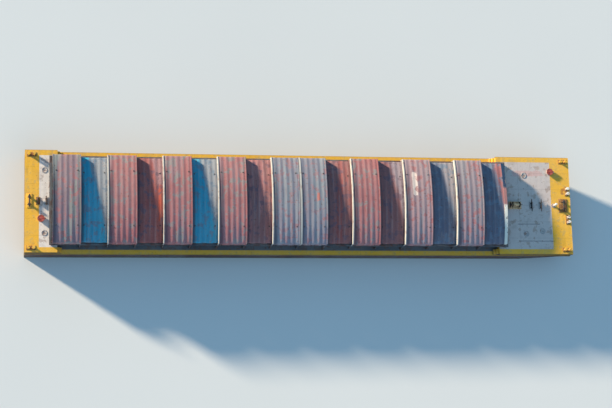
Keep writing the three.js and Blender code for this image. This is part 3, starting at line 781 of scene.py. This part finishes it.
def weld_ring(radius, z, bead=0.014):
    shape = ring_shape(radius, bead, 24, 6)
    bmesh.ops.translate(shape, vec=(0, 0, z), verts=shape.verts)
    return shape


# Places
def at(x, y, z=0.0):
    return Matrix.Translation((x, y, z))


def turned(degrees, axis):
    return Matrix.Rotation(math.radians(degrees), 4, axis)


def both_sides(*places):
    """Each place and its mirror image over the centreline."""
    mirror = Matrix.Scale(-1, 4, (0, 1, 0))
    return [side for place in places or [Matrix()] for side in (place, mirror @ place)]


def corners(place, x, y, z):
    return [place @ at(fore * x, port * y, z) for fore in (-1, 1) for port in (-1, 1)]


def around(places, turns, reach, z=0.0):
    """Places on a circle round each place, facing outward."""
    return [place @ turned(turn, "Z") @ at(reach, 0, z) for place in places for turn in turns]


def foot_of(node):
    """The middle of a node's foot, and the node's size."""
    low, high = box_of(node)
    return at((low.x + high.x) / 2, (low.y + high.y) / 2, low.z), high - low


class Piece:
    """One object in the making: shapes are joined in, each with one of its materials."""

    def __init__(self, *materials):
        self.materials = materials
        self.whole = bmesh.new()

    def add(self, shape, material=0, places=(Matrix(),)):
        bmesh.ops.remove_doubles(shape, verts=shape.verts, dist=MERGE_WITHIN)
        bmesh.ops.recalc_face_normals(shape, faces=shape.faces)
        for face in shape.faces:
            face.material_index = material
        mesh = bpy.data.meshes.new("shape")
        shape.to_mesh(mesh)
        shape.free()
        for place in places:
            copy = mesh.copy()
            copy.transform(place)
            if place.determinant() < 0:
                copy.flip_normals()
            self.whole.from_mesh(copy)
            bpy.data.meshes.remove(copy)
        bpy.data.meshes.remove(mesh)

    def finish(self, name, body, slot, *replaced):
        for face in self.whole.faces:
            face.smooth = True
        for edge in self.whole.edges:
            if len(edge.link_faces) == 2 and edge.calc_face_angle(0) > SHARP:
                edge.smooth = False
        self.whole.transform(Matrix.Scale(SCALE, 4))
        mesh = bpy.data.meshes.new(name)
        self.whole.to_mesh(mesh)
        self.whole.free()
        for material in self.materials:
            mesh.materials.append(material)
        made = bpy.data.objects.new(name, mesh)
        bpy.context.scene.collection.objects.link(made)
        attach(made, body)
        if replaced:
            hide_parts(*replaced)


# Covers
def arch(level):
    """Centre height, outer radius and half the sweep of a level's arch."""
    half, eave = LEVELS[level]
    radius = (half ** 2 + COVER_RISE ** 2) / (2 * COVER_RISE)
    return eave + COVER_RISE - radius, radius, math.asin(half / radius)


def on_arch(level, x, y, lift):
    """The place on a level's arch at x and y, with its Z axis along the outward normal."""
    centre, radius, _ = arch(level)
    lean = math.asin(y / (radius + lift))
    return at(x, y, centre + (radius + lift) * math.cos(lean)) @ Matrix.Rotation(-lean, 4, "X")


def over_arch(line, level, closed=False):
    """Carries a line of (x, lift) points over a level's arch from eave to eave and down both skirts."""
    centre, radius, sweep = arch(level)
    shape = bmesh.new()
    verts = [shape.verts.new((x, 0, centre + radius + lift)) for x, lift in line]
    ends = verts + verts[:1] if closed else verts
    first = [shape.edges.new(pair) for pair in zip(ends, ends[1:])]
    bmesh.ops.rotate(shape, verts=verts, cent=(0, 0, centre), matrix=Matrix.Rotation(-sweep, 3, "X"))
    swept = bmesh.ops.spin(shape, geom=verts + first, cent=(0, 0, centre), axis=(1, 0, 0), dvec=(0, 0, 0),
                           angle=2 * sweep, steps=ARCH_STEPS)
    last = [item for item in swept["geom_last"] if isinstance(item, bmesh.types.BMEdge)]
    for rim in (first, last):
        dropped = dropped_to(shape, rim, SKIRT_FOOT)
        if closed:
            foot = [item for item in dropped if isinstance(item, bmesh.types.BMEdge)
                    and all(abs(vert.co.z - SKIRT_FOOT) < MERGE_WITHIN for vert in item.verts)]
            bmesh.ops.holes_fill(shape, edges=foot)
    return shape


def dropped_to(shape, rim, z):
    """Carries the edges of a rim straight down or up to a height, and gives back what was made."""
    made = bmesh.ops.extrude_edge_only(shape, edges=rim)["geom"]
    for item in made:
        if isinstance(item, bmesh.types.BMVert):
            item.co.z = z
    return made


def corrugated_line(number, start, end):
    """A cover's top plate from end to end: flat, with a trapezoid rib in the middle of each rib pitch."""
    line = [(start, 0.0)]
    first = HATCH_AFT + (number - 1) * PITCH
    for rib in range(RIBS):
        crest = first + (rib + 0.5) * RIB_PITCH
        line += [(crest - RIB_FOOT / 2, 0.0), (crest - RIB_TOP / 2, RIB_PROUD),
                 (crest + RIB_TOP / 2, RIB_PROUD), (crest + RIB_FOOT / 2, 0.0)]
    return line + [(end, 0.0)]


def corrugated_panel(number, level, start, end):
    """The cover's sheet: arched, ribbed, rounded at its eaves and given its thickness."""
    half, eave = LEVELS[level]
    near, step = 0.05, 0.03
    shape = over_arch(corrugated_line(number, start, end), level)
    bmesh.ops.remove_doubles(shape, verts=shape.verts, dist=MERGE_WITHIN)
    eaves = [edge for edge in shape.edges if len(edge.link_faces) == 2
             and all(abs(vert.co.y) > half - near and vert.co.z > eave - near for vert in edge.verts)
             and abs(edge.verts[0].co.y - edge.verts[1].co.y) < step]
    bmesh.ops.bevel(shape, geom=eaves, offset=EAVE_ROUND, segments=3, profile=0.5, affect="EDGES",
                    material=-1)
    bmesh.ops.recalc_face_normals(shape, faces=shape.faces)
    if sum(face.normal.z * face.calc_area() for face in shape.faces) < 0:
        bmesh.ops.reverse_faces(shape, faces=shape.faces)
    bmesh.ops.solidify(shape, geom=shape.faces[:], thickness=COVER_PLATE)
    return shape


def arched_bar(start, end, proud, level):
    """A flat bar bent over the arch and down both skirts."""
    section = [(start, BAR_UNDER), (end, BAR_UNDER), (end, proud), (start, proud)]
    shape = over_arch(section, level, closed=True)
    bmesh.ops.recalc_face_normals(shape, faces=shape.faces)
    round_edges(shape, 0.008, 1, math.radians(60))
    return shape


def arc_edges(shape, level, lift, reach, x):
    """A line along a level's arch, from port to starboard, in the plane at x."""
    centre, radius, _ = arch(level)
    sweep = math.asin(reach / (radius + lift))
    vert = shape.verts.new((x, reach, centre + (radius + lift) * math.cos(sweep)))
    before = set(shape.edges)
    bmesh.ops.spin(shape, geom=[vert], cent=(x, 0, centre), axis=(1, 0, 0), dvec=(0, 0, 0),
                   angle=2 * sweep, steps=ARCH_STEPS)
    return [edge for edge in shape.edges if edge not in before]


def crescent_shape(span, top, foot):
    """A plate between two arcs, each given as (level, lift)."""
    shape = bmesh.new()
    rims = [arc_edges(shape, level, lift, CRESCENT_REACH, span[0]) for level, lift in (top, foot)]
    faces = bmesh.ops.bridge_loops(shape, edges=rims[0] + rims[1])["faces"]
    return carried(shape, faces, span[1] - span[0])


def end_plate_shape(level, span):
    """A whole plate that closes a cover's outer end, from just above the coaming to under the arch."""
    shape = bmesh.new()
    rim = arc_edges(shape, level, BAR_UNDER, LEVELS[level][0] - PLATE_INSET, span[0])
    dropped_to(shape, rim, END_PLATE_FOOT)
    return carried(shape, shape.faces[:], span[1] - span[0])


def end_stiffener(level, span, y):
    """A flat bar up the outside of an end plate, inside the end bar's rim."""
    centre, radius, _ = arch(level)
    top = centre + math.sqrt((radius - 0.1) ** 2 - y ** 2)
    return box_shape((span[0], y - 0.03, END_PLATE_FOOT + 0.02), (span[1], y + 0.03, top), 0.004)


def build_cover(number):
    level, slot = COVERS[number - 1][:2]
    body = f"cover_{number:02d}"
    node = f"{body}_{level}"
    low, high = box_of(node)
    before = COVERS[number - 2][0] if number > 1 else None
    after = COVERS[number][0] if number < COVER_COUNT else None
    coat = cover_material(number)
    build_panel(number, body, node, level, slot, low.x, high.x, coat)
    build_ends(body, level, low.x, high.x, before, after, coat)
    build_running_gear(body, level, low.x, high.x)


def build_panel(number, body, node, level, slot, start, end, coat):
    half, eave = LEVELS[level]
    panel = Piece(coat)
    panel.add(corrugated_panel(number, level, start + 0.008, end - 0.008))
    foot = box_shape((start + 0.01, half - 0.05, SKIRT_FOOT),
                     (end - 0.01, half + 0.015, SKIRT_FOOT + 0.05), 0.006)
    panel.add(foot, 0, both_sides())
    for stiffener in range(1, RIBS):
        x = start + (end - start) * stiffener / RIBS
        bar = box_shape((x - 0.025, half - 0.01, SKIRT_FOOT + 0.04),
                        (x + 0.025, half + 0.022, eave - EAVE_ROUND), 0.006)
        panel.add(bar, 0, both_sides())
    panel.finish(f"{body}_panel", body, slot, node)


def span(edge, inward, near, far):
    """Where something starts and ends along X, from its distances inside a cover's end."""
    return sorted((edge + inward * near, edge + inward * far))


def build_ends(body, level, start, end, before, after, coat):
    """End bars over the arch, plates that close a high cover over a low one, and rubber seals."""
    ends = Piece(coat, bar_paint, rubber, fore_bar_paint)
    # Painted highlight: only the aft ends of high covers, which face the key lamp, take the pale paint; the
    # fore ends keep the cover's coat.
    aft_highlight_slot = 1 if level == "high" and before else 0
    aft_wide = BATTEN_WIDE if level == before == "high" else BAR_WIDE
    ends.add(arched_bar(start, start + aft_wide, BAR_PROUD[level], level), aft_highlight_slot)
    if after:
        ends.add(arched_bar(end - BAR_WIDE, end, BAR_PROUD[level], level))
    else:
        ends.add(arched_bar(end - FORE_BAR_WIDE, end, FORE_BAR_PROUD, level), 3)
    edges = [(start, 1, before, aft_highlight_slot), (end, -1, after, 0)]
    for edge, inward, neighbour, paint in edges:
        if level == "high" and neighbour:
            plate = crescent_shape(span(edge, inward, 0.005, 0.05), ("high", -0.04), ("low", CRESCENT_CLEAR))
            ends.add(plate, paint)
            seal = crescent_shape(span(edge, inward, 0.015, 0.04), ("low", CRESCENT_CLEAR + 0.02),
                                  ("low", CRESCENT_CLEAR - FLAP))
            ends.add(seal, 2)
    for edge, inward, neighbour, _ in edges:
        if not neighbour:
            ends.add(end_plate_shape(level, span(edge, inward, 0.05, 0.09)))
            for y in END_STIFFENERS:
                ends.add(end_stiffener(level, span(edge, inward, 0.01, 0.055), y), 0, both_sides())
    ends.finish(f"{body}_ends", body, "cover_pale")


def build_running_gear(body, level, start, end):
    """Rollers with their boxes, grab handles and lifting eyes."""
    half = LEVELS[level][0]
    gear = Piece(dark_paint, steel)
    web, rim = ROLLER_RADIUS * 0.55, ROLLER_RADIUS * 0.8
    wheel = symmetric((0, 0.03), (ROLLER_RADIUS * 0.5, 0.03), (web, 0.022), (rim, 0.022),
                      (ROLLER_RADIUS * 0.85, 0.03), (ROLLER_RADIUS, 0.024))
    spots = [start + ROLLER_INSET, end - ROLLER_INSET]
    line = half - RAIL_INSET
    wheels = [at(x, side * line, ROLLER_AXLE) @ turned(90, "X") for x in spots for side in (-1, 1)]
    gear.add(turned_shape(wheel, 20), 1, wheels)
    for x in spots:
        housing = box_shape((x - 0.15, half - 0.01, SKIRT_FOOT + 0.03),
                            (x + 0.15, half + 0.04, SKIRT_FOOT + 0.2), 0.016, 3)
        gear.add(housing, 0, both_sides())
    cap = turned_shape([(0, 0), (0.05, 0), (0.05, 0.01), (0.038, 0.018), (0, 0.018)], 14)
    caps = [at(x, half + 0.04, ROLLER_AXLE + 0.02) @ turned(-90, "X") for x in spots]
    gear.add(cap, 1, both_sides(*caps))

    middle = (start + end) / 2
    grab = [(middle + along, out, SKIRT_FOOT + GRAB_UP)
            for along, out in grip_line(GRAB_REACH, GRAB_REACH * 0.8, half, half + GRAB_OUT[level])]
    gear.add(rod_shape(grab, 0.014), 0, both_sides())
    eyes = [on_arch(level, x, side * half * EYE_OUT, RIB_PROUD)
            for x in (start + EYE_INSET, end - EYE_INSET) for side in (-1, 1)]
    gear.add(slab_shape(0.07, 0.06, -0.02, 0.012, 0.006), 0, eyes)
    gear.add(ring_shape(0.035, 0.011, 16, 8), 1, [eye @ at(0, 0, 0.018) @ turned(90, "X") for eye in eyes])
    gear.finish(f"{body}_running_gear", body, "fitting_black")


# Hull fittings, each built at its own foot and placed on the deck by its node's box
def build_bitts(node, paint, slot):
    """A pair of mooring posts with caps and cross pins on a doubler plate."""
    place, size = foot_of(node)
    if size.y > size.x:
        place = place @ turned(90, "Z")
    piece = Piece(paint, worn_paint)
    piece.add(slab_shape(0.5, 0.225, 0, 0.04, 0.012), 1, [place])
    posts = [place @ at(side * 0.275, 0) for side in (-1, 1)]
    post = [(0, 0.02), (0.13, 0.02), (0.13, 0.46), (0.15, 0.495), (0.165, 0.5), (0.17, 0.51), (0.17, 0.535),
            (0.155, 0.55), (0, 0.55)]
    piece.add(turned_shape(post, 28), 0, posts)
    piece.add(weld_ring(0.135, 0.045), 1, posts)
    pin = turned_shape(symmetric((0, 0.2), (0.022, 0.2), (0.028, 0.19)), 12)
    piece.add(pin, 0, [post_at @ at(0, 0, 0.3) @ turned(90, "X") for post_at in posts])
    piece.add(gusset_shape(0.06, 0.1, 0.02), 0, around(posts, (45, 135, 225, 315), 0.125, 0.035))
    piece.finish(f"{node}_dressed", "hull", slot, node)


def build_kevel(node, plate_paint):
    """A cast kevel: two legs, a web and a horned bar across the deck."""
    place, size = foot_of(node)
    half = size.y / 2
    piece = Piece(dark_paint, plate_paint)
    piece.add(slab_shape(0.22, 0.4, 0, 0.04, 0.012), 1, [place])
    horn = [(0, half), (0.025, half), (0.042, half - 0.02), (0.046, half - 0.08), (0.055, 0.3), (0.06, 0)]
    piece.add(turned_shape(symmetric(*horn), 16), 0, [place @ at(0, 0, 0.258) @ turned(90, "X")])
    leg = [(0, 0.02), (0.1, 0.02), (0.1, 0.045), (0.066, 0.09), (0.052, 0.16), (0.056, 0.25), (0, 0.27)]
    piece.add(turned_shape(leg, 20), 0, [place @ at(0, side * 0.24) for side in (-1, 1)])
    web = plate_shape([(-0.3, 0.03), (0.3, 0.03), (0.24, 0.25), (-0.24, 0.25)], -0.022, 0.022, 0.006)
    piece.add(web, 0, [place])
    piece.add(bolt_shape(0.025, 0.02), 0, corners(place, 0.17, 0.33, 0.04))
    piece.finish(f"{node}_dressed", "hull", "fitting_black", node)


def build_tow_fitting(node, plate_paint):
    """Two towing posts joined by a cross bar, on a doubler plate."""
    place, size = foot_of(node)
    piece = Piece(dark_paint, plate_paint)
    piece.add(slab_shape(size.x / 2, size.y / 2, 0, 0.05, 0.014), 1, [place])
    posts = [place @ at(0, side * 0.4) for side in (-1, 1)]
    post = [(0, 0.03), (0.12, 0.03), (0.12, 0.44), (0.135, 0.46), (0.135, 0.485), (0.12, 0.5), (0, 0.5)]
    piece.add(turned_shape(post, 28), 0, posts)
    piece.add(weld_ring(0.125, 0.055), 1, posts)
    bar = turned_shape(symmetric((0, 0.675), (0.055, 0.675), (0.07, 0.655)), 24)
    piece.add(bar, 0, [place @ at(0, 0, 0.32) @ turned(90, "X")])
    piece.add(gusset_shape(0.12, 0.18, 0.025), 0, around(posts, (0, 180), 0.115, 0.045))
    piece.finish(f"{node}_dressed", "hull", "fitting_black", node)


def build_deck_post(node):
    """A white post with a collar and a cross pin, bolted down by a round foot."""
    place, size = foot_of(node)
    top = size.z
    piece = Piece(white_post, grey_paint)
    foot = [(0, 0), (0.24, 0), (0.24, 0.03), (0.23, 0.04), (0.1, 0.04), (0, 0.04)]
    piece.add(turned_shape(foot, 32), 1, [place])
    post = [(0, 0.02), (0.11, 0.02), (0.11, top - 0.09), (0.122, top - 0.08), (0.122, top - 0.03),
            (0.11, top - 0.012), (0.06, top), (0, top)]
    piece.add(turned_shape(post, 28), 0, [place])
    piece.add(weld_ring(0.115, 0.045), 1, [place])
    piece.add(bolt_shape(0.022, 0.02), 1, around([place], range(0, 360, 45), 0.185, 0.04))
    pin = turned_shape(symmetric((0, 0.2), (0.024, 0.2)), 12)
    piece.add(pin, 0, [place @ at(0, 0, 0.72) @ turned(90, "X")])
    piece.finish(f"{node}_dressed", "hull", "post_white", node)


GROOVES = 14
TEETH = 30


def build_winch():
    """A hand winch: bed and cheeks on the hull, grooved drum with its gear wheel and handwheel."""
    place, _ = foot_of("winch_frame")
    axle = place @ at(0, 0, 0.5)
    build_winch_bed(place, axle)
    build_winch_drum(axle)


def build_winch_bed(place, axle):
    bed = Piece(cream_paint, steel)
    bed.add(slab_shape(0.75, 0.425, 0, 0.03, 0.008), 0, [place])
    rail = box_shape((-0.74, 0.3, 0.02), (0.74, 0.42, 0.08), 0.01)
    bed.add(rail, 0, [place @ side for side in both_sides()])
    for cross in (-0.66, -0.2, 0.2, 0.66):
        bed.add(box_shape((cross - 0.05, -0.31, 0.02), (cross + 0.05, 0.31, 0.07), 0.008), 0, [place])
    outline = [(-0.35, 0.04), (0.35, 0.04), (0.17, 0.58), (0.1, 0.67), (-0.1, 0.67), (-0.17, 0.58)]
    sloping = at(0, 0.35, 0.04) @ Matrix.Rotation(math.atan2(0.18, 0.54), 4, "X")
    bearing = symmetric((0.0565, 0.045), (0.1, 0.045), (0.115, 0.035), closed=True)
    for cheek in (-0.5, 0.5):
        bed.add(plate_shape(outline, cheek - 0.018, cheek + 0.018, 0.006), 0, [place])
        rib = box_shape((cheek - 0.05, -0.012, 0), (cheek + 0.05, 0.012, 0.56), 0.004)
        bed.add(rib, 0, [place @ side for side in both_sides(sloping)])
        bed.add(turned_shape(bearing, 24), 1, [axle @ at(cheek, 0) @ turned(90, "Y")])
    bed.add(bolt_shape(0.025, 0.022), 1, corners(place, 0.68, 0.36, 0.08))
    lever = rod_shape([(0.3, 0.33, 0.05), (0.3, 0.36, 0.3), (0.3, 0.33, 0.62)], 0.016)
    bed.add(lever, 1, [place])
    bed.finish("winch_bed", "hull", "winch_steel", "winch_frame")


def build_winch_drum(axle):
    drum = Piece(dark_paint, steel, cream_paint)
    along = turned(90, "Y")
    grooved = 0.77
    step = grooved / GROOVES
    barrel = [(0, -0.4), (0.15, -0.4)]
    for groove in range(GROOVES):
        x = -grooved / 2 + groove * grooved / GROOVES
        barrel += [(0.16, x + step * 0.15), (0.148, x + step * 0.5), (0.16, x + step * 0.85)]
    barrel += [(0.15, 0.4), (0, 0.4)]
    drum.add(turned_shape(barrel, 32), 2, [axle @ along])
    flange = turned_shape(symmetric((0.1, 0.015), (0.285, 0.015), (0.3, 0.006), closed=True), 36)
    drum.add(flange, 0, [axle @ at(side * 0.405, 0) @ along for side in (-1, 1)])
    gear_at = axle @ at(0.37, 0)
    tooth = box_shape((-0.013, 0.255, -0.014), (0.013, 0.296, 0.014), 0.003, 1)
    drum.add(tooth, 0, [gear_at @ turned(360 * turn / TEETH, "X") for turn in range(TEETH)])
    gear = turned_shape(symmetric((0.1, 0.012), (0.258, 0.012), closed=True), 36)
    drum.add(gear, 0, [gear_at @ along])
    shaft = turned_shape(symmetric((0, 0.72), (0.042, 0.72), (0.05, 0.705)), 24)
    drum.add(shaft, 1, [axle @ along])
    wheel_at = axle @ at(-0.66, 0) @ along
    drum.add(ring_shape(0.265, 0.02, 40, 10), 0, [wheel_at])
    spoke = turned_shape([(0, 0.04), (0.015, 0.04), (0.015, 0.26), (0, 0.26)], 10)
    drum.add(spoke, 0, [wheel_at @ turned(turn, "Z") @ turned(90, "Y") for turn in range(0, 360, 60)])
    hub = turned_shape(symmetric((0.04, 0.04), (0.08, 0.04), closed=True), 24)
    drum.add(hub, 0, [wheel_at])
    drum.finish("winch_drum_grooved", "winch_drum", "winch_steel", "winch_drum")


DOG_TURNS = [55, 125, 235, 305]


def build_access_hatch(end):
    """A round trunk with a hinged lid that four dogs hold down."""
    name = f"access_hatch_{end}"
    low = box_of(f"{name}_trunk")[0]
    lid_low, lid_high = box_of(f"{name}_lid")
    place = at(low.x + 0.34, (lid_low.y + lid_high.y) / 2, low.z)
    build_trunk(name, place)
    build_lid(name, end, place @ at(0, 0, lid_low.z - low.z))


def build_trunk(name, place):
    trunk = Piece(grey_paint, steel)
    wall = [(0.29, 0.05), (0.29, 0.24), (0.3, 0.25), (0.33, 0.25), (0.34, 0.24), (0.34, 0.21), (0.325, 0.2),
            (0.325, 0.02), (0.34, 0), (0, 0), (0, 0.05), (0.29, 0.05)]
    trunk.add(turned_shape(wall, 40), 0, [place])
    trunk.add(weld_ring(0.33, 0.005), 0, [place])
    for lug in (-0.08, 0.08):
        trunk.add(box_shape((0.408, lug - 0.02, 0.1), (0.48, lug + 0.02, 0.315), 0.012), 0, [place])
        trunk.add(box_shape((0.31, lug - 0.02, 0.1), (0.42, lug + 0.02, 0.225), 0.008), 0, [place])
    bracket = box_shape((0.315, -0.03, 0.13), (0.365, 0.03, 0.19), 0.004)
    trunk.add(bracket, 0, [place @ turned(turn, "Z") for turn in DOG_TURNS])
    bolt = turned_shape([(0, 0.14), (0.011, 0.14), (0.011, 0.235), (0, 0.235)], 10)
    trunk.add(bolt, 1, around([place], DOG_TURNS, 0.358))
    trunk.finish(f"{name}_trunk_dressed", "hull", "deck_paint", f"{name}_trunk")


def build_lid(name, end, foot):
    lid = Piece(red_paint, steel, rubber)
    plate = [(0, 0.012), (0.26, 0.012), (0.27, 0.001), (0.37, 0.001), (0.38, 0.008), (0.38, 0.036),
             (0.368, 0.048), (0.33, 0.05), (0.3, 0.042), (0.15, 0.049), (0, 0.05)]
    lid.add(turned_shape(plate, 40), 0, [foot])
    lid.add(ring_shape(0.315, 0.012, 36, 8), 2, [foot @ at(0, 0, 0.008)])
    lid.add(box_shape((-0.2, -0.042, 0.035), (0.44, 0.042, 0.062), 0.008), 0, [foot])
    hinge = foot @ at(0.44, 0, 0.025) @ turned(90, "X")
    lid.add(turned_shape(symmetric((0, 0.055), (0.035, 0.055)), 20), 0, [hinge])
    lid.add(turned_shape(symmetric((0, 0.1), (0.016, 0.1)), 16), 1, [hinge])
    handle = [(-0.29, along, up) for along, up in grip_line(0.09, 0.06, 0.045, 0.1)]
    lid.add(rod_shape(handle, 0.012), 1, [foot])
    nut = turned_shape([(0, 0.048), (0.03, 0.048), (0.03, 0.07), (0.016, 0.085), (0, 0.085)], 6)
    lid.add(nut, 1, around([foot], DOG_TURNS, 0.345))
    lid.finish(f"{name}_lid_dressed", f"hatch_lid_{end}", "lid_red", f"{name}_lid")


# Manholes in the end decks. Columns: x, y
MANHOLES = [(24.7, 3.4), (24.7, -3.2), (26.6, -2.9), (-27.95, 3.3), (-27.95, -3.4)]
# Sounding pipes: x of each pair, and how far out in the side decks
SOUNDING_PIPES = [-24.3, -15.6, -6.9, 1.8, 10.5, 19.2]
PIPES_OUT = 4.92


def build_deck_furniture():
    """Manhole covers in the end decks and sounding pipes in the side decks."""
    furniture = Piece(grey_paint, steel)
    spots = [at(x, y, END_DECK) for x, y in MANHOLES]
    ring = [(0.24, 0), (0.33, 0), (0.33, 0.012), (0.322, 0.02), (0.24, 0.02), (0.24, 0)]
    furniture.add(turned_shape(ring, 36), 0, spots)
    plate = [(0, 0.01), (0.3, 0.01), (0.3, 0.026), (0.292, 0.034), (0.2, 0.034), (0.19, 0.028), (0, 0.028)]
    furniture.add(turned_shape(plate, 36), 0, spots)
    furniture.add(bolt_shape(0.016, 0.014), 1, around(spots, range(0, 360, 30), 0.265, 0.034))
    handle = [(along, 0, up) for along, up in grip_line(0.09, 0.07, 0.026, 0.07)]
    furniture.add(rod_shape(handle, 0.01), 1, spots)
    pipe = [(0, 0), (0.07, 0), (0.07, 0.015), (0.045, 0.02), (0.045, 0.05), (0.035, 0.058), (0, 0.058)]
    pipes = [at(x, side * PIPES_OUT, SIDE_DECK) for x in SOUNDING_PIPES for side in (-1, 1)]
    furniture.add(turned_shape(pipe, 18), 1, pipes)
    furniture.finish("deck_furniture", "hull", "deck_paint")


# Coaming trim: rail clips by their number and lines, end stops by their lines, and the end stays' y
CLIPS = 34
CLIP_LINES = [4.71, 4.55, 4.39]
STOP_LINES = [4.46, 4.64]
END_STAYS = [-3.9, -2.6, -1.3, 0.9, 2.6, 3.9]
END_GAP = 0.08
FLANGE = 0.05
STAY_LEAN = 0.06
# Treads up to the end decks: x of the wall behind them, and which way they step down
TREAD_WALLS = [(21.5, -1), (-26.6, 1)]
TREAD_DEEP = 0.25
TREAD_BARS = [0.2, 0.4, 0.6, 0.8]


def build_coaming_trim():
    """Face flats on the stays, rail clips and stops, braces at the hatch's ends, step treads."""
    trim = Piece(coaming_paint, steel, yellow_paint)
    stay_high = COAMING_TOP - FLANGE - SIDE_DECK
    leaning = Matrix.Rotation(math.atan2(STAY_LEAN, stay_high), 4, "X")
    tall = math.hypot(STAY_LEAN, stay_high)
    stays = [HATCH_AFT + panel * PITCH for panel in range(1, COVER_COUNT)]
    flat = box_shape((-0.06, -0.012, 0.004), (0.06, 0.008, tall - 0.004), 0.004)
    trim.add(flat, 0, both_sides(*(at(x, HOLD_HALF + 0.385, SIDE_DECK) @ leaning for x in stays)))
    pad = box_shape((-0.1, 0.06, 0), (0.1, 0.42, 0.015), 0.004)
    trim.add(pad, 0, both_sides(*(at(x, HOLD_HALF, SIDE_DECK) for x in stays)))
    bead = box_shape((HATCH_AFT + 0.02, HOLD_HALF + 0.07, SIDE_DECK),
                     (HATCH_FORE - 0.02, HOLD_HALF + 0.1, SIDE_DECK + 0.02), 0.006)
    trim.add(bead, 0, both_sides())
    clips = [at(HATCH_AFT + (clip + 0.5) * HATCH_LONG / CLIPS, line, COAMING_TOP)
             for clip in range(CLIPS) for line in CLIP_LINES]
    trim.add(slab_shape(0.05, 0.02, 0, 0.022, 0.004, 1), 1, both_sides(*clips))
    ends = [HATCH_AFT - END_GAP, HATCH_FORE + END_GAP]
    stops = [at(x, line, COAMING_TOP) for x in ends for line in STOP_LINES]
    trim.add(slab_shape(0.04, 0.035, 0, 0.12, 0.008), 1, both_sides(*stops))
    brace = gusset_shape(0.22, COAMING_TOP - FLANGE - END_DECK, 0.03)
    braces = [at(x, y, END_DECK) @ turned(turn, "Z") for x, turn in zip(ends, (180, 0)) for y in END_STAYS]
    trim.add(brace, 0, braces)
    rise = (END_DECK - SIDE_DECK) / 3
    for wall, away in TREAD_WALLS:
        for tread in (1, 2):
            back = wall + away * TREAD_DEEP * (2 - tread)
            start, end = sorted((back + away * 0.01, back + away * (TREAD_DEEP - 0.005)))
            top = SIDE_DECK + rise * tread
            plate = box_shape((start, 4.86, top), (end, 5.39, top + 0.012), 0.004)
            trim.add(plate, 2, both_sides())
            bars = [at(start + (end - start) * share, 0, top + 0.012) for share in TREAD_BARS]
            trim.add(box_shape((-0.008, 4.9, 0), (0.008, 5.35, 0.008), 0.002, 1), 2, both_sides(*bars))
    trim.finish("coaming_trim", "hull", "coaming_paint")


for node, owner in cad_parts.items():
    if node.startswith(("hull_", "wing_", "double_", "coaming_")):
        owner.data.materials.clear()
        owner.data.materials.append(coaming_paint if node.startswith("coaming_") else hull_paint)

for number in range(1, COVER_COUNT + 1):
    build_cover(number)

for corner in ("bow_port", "bow_starboard", "stern_port", "stern_starboard"):
    build_bitts(f"bitts_{corner}", yellow_post, "bitt_yellow")
for corner in ("headlog_port", "headlog_starboard"):
    build_bitts(f"bitts_{corner}", white_post, "post_white")
for node in ("kevel_fore_inner", "kevel_fore_outer", "kevel_stern_inner"):
    build_kevel(node, grey_paint)
build_kevel("kevel_stern_outer", worn_paint)
build_tow_fitting("tow_bitt_bow", worn_paint)
build_tow_fitting("tow_bitt_stern", yellow_paint)
build_deck_post("deck_post_centre")
build_winch()
for end in ("bow", "stern"):
    build_access_hatch(end)
build_deck_furniture()
build_coaming_trim()


# Studio: pale floor at the waterline, low warm key from aft and port, even fill.
# Lamps. Columns: name, colour, strength, softness in degrees, direction of its light
LAMPS = [
    ("key", (1.0, 0.85, 0.62), 10.4, 4.0, (0.813, -0.539, -0.22)),
    ("fill", (0.86, 0.92, 1.0), 0.5, 60.0, (-0.45, 0.75, -0.48)),
]
SKY_TINT = (0.41, 0.86, 1.3, 1.0)
SKY_STRENGTH = 0.42
# In the model's metres
FLOOR_HALF = 700.0


def build_floor():
    shape = bmesh.new()
    bmesh.ops.create_grid(shape, x_segments=2, y_segments=2, size=FLOOR_HALF)
    mesh = bpy.data.meshes.new("studio_floor")
    shape.to_mesh(mesh)
    shape.free()
    mesh.transform(at(0, 0, WATERLINE * SCALE))
    floor = bpy.data.objects.new("studio_floor", mesh)
    bpy.context.scene.collection.objects.link(floor)
    graph = Finish("floor_pale")
    tone = graph.noise(graph.place, 0.05, 2.0)
    colour = graph.blend(tone, grey(214), grey(222))
    mesh.materials.append(graph.done(colour, graph.lerp(tone, 0.8, 0.9), tone, 0.0005))


def build_lights():
    for name, colour, energy, angle, travel in LAMPS:
        lamp = bpy.data.lights.new(name, "SUN")
        lamp.color = colour
        lamp.energy = energy
        lamp.angle = math.radians(angle)
        holder = bpy.data.objects.new(name, lamp)
        holder.rotation_mode = "QUATERNION"
        holder.rotation_quaternion = Vector(travel).to_track_quat("-Z", "Y")
        bpy.context.scene.collection.objects.link(holder)
    world = bpy.data.worlds.new("studio")
    world.use_nodes = True
    back = world.node_tree.nodes["Background"]
    back.inputs["Color"].default_value = SKY_TINT
    back.inputs["Strength"].default_value = SKY_STRENGTH
    bpy.context.scene.world = world
    bpy.context.scene.view_settings.view_transform = "Standard"


build_floor()
build_lights()
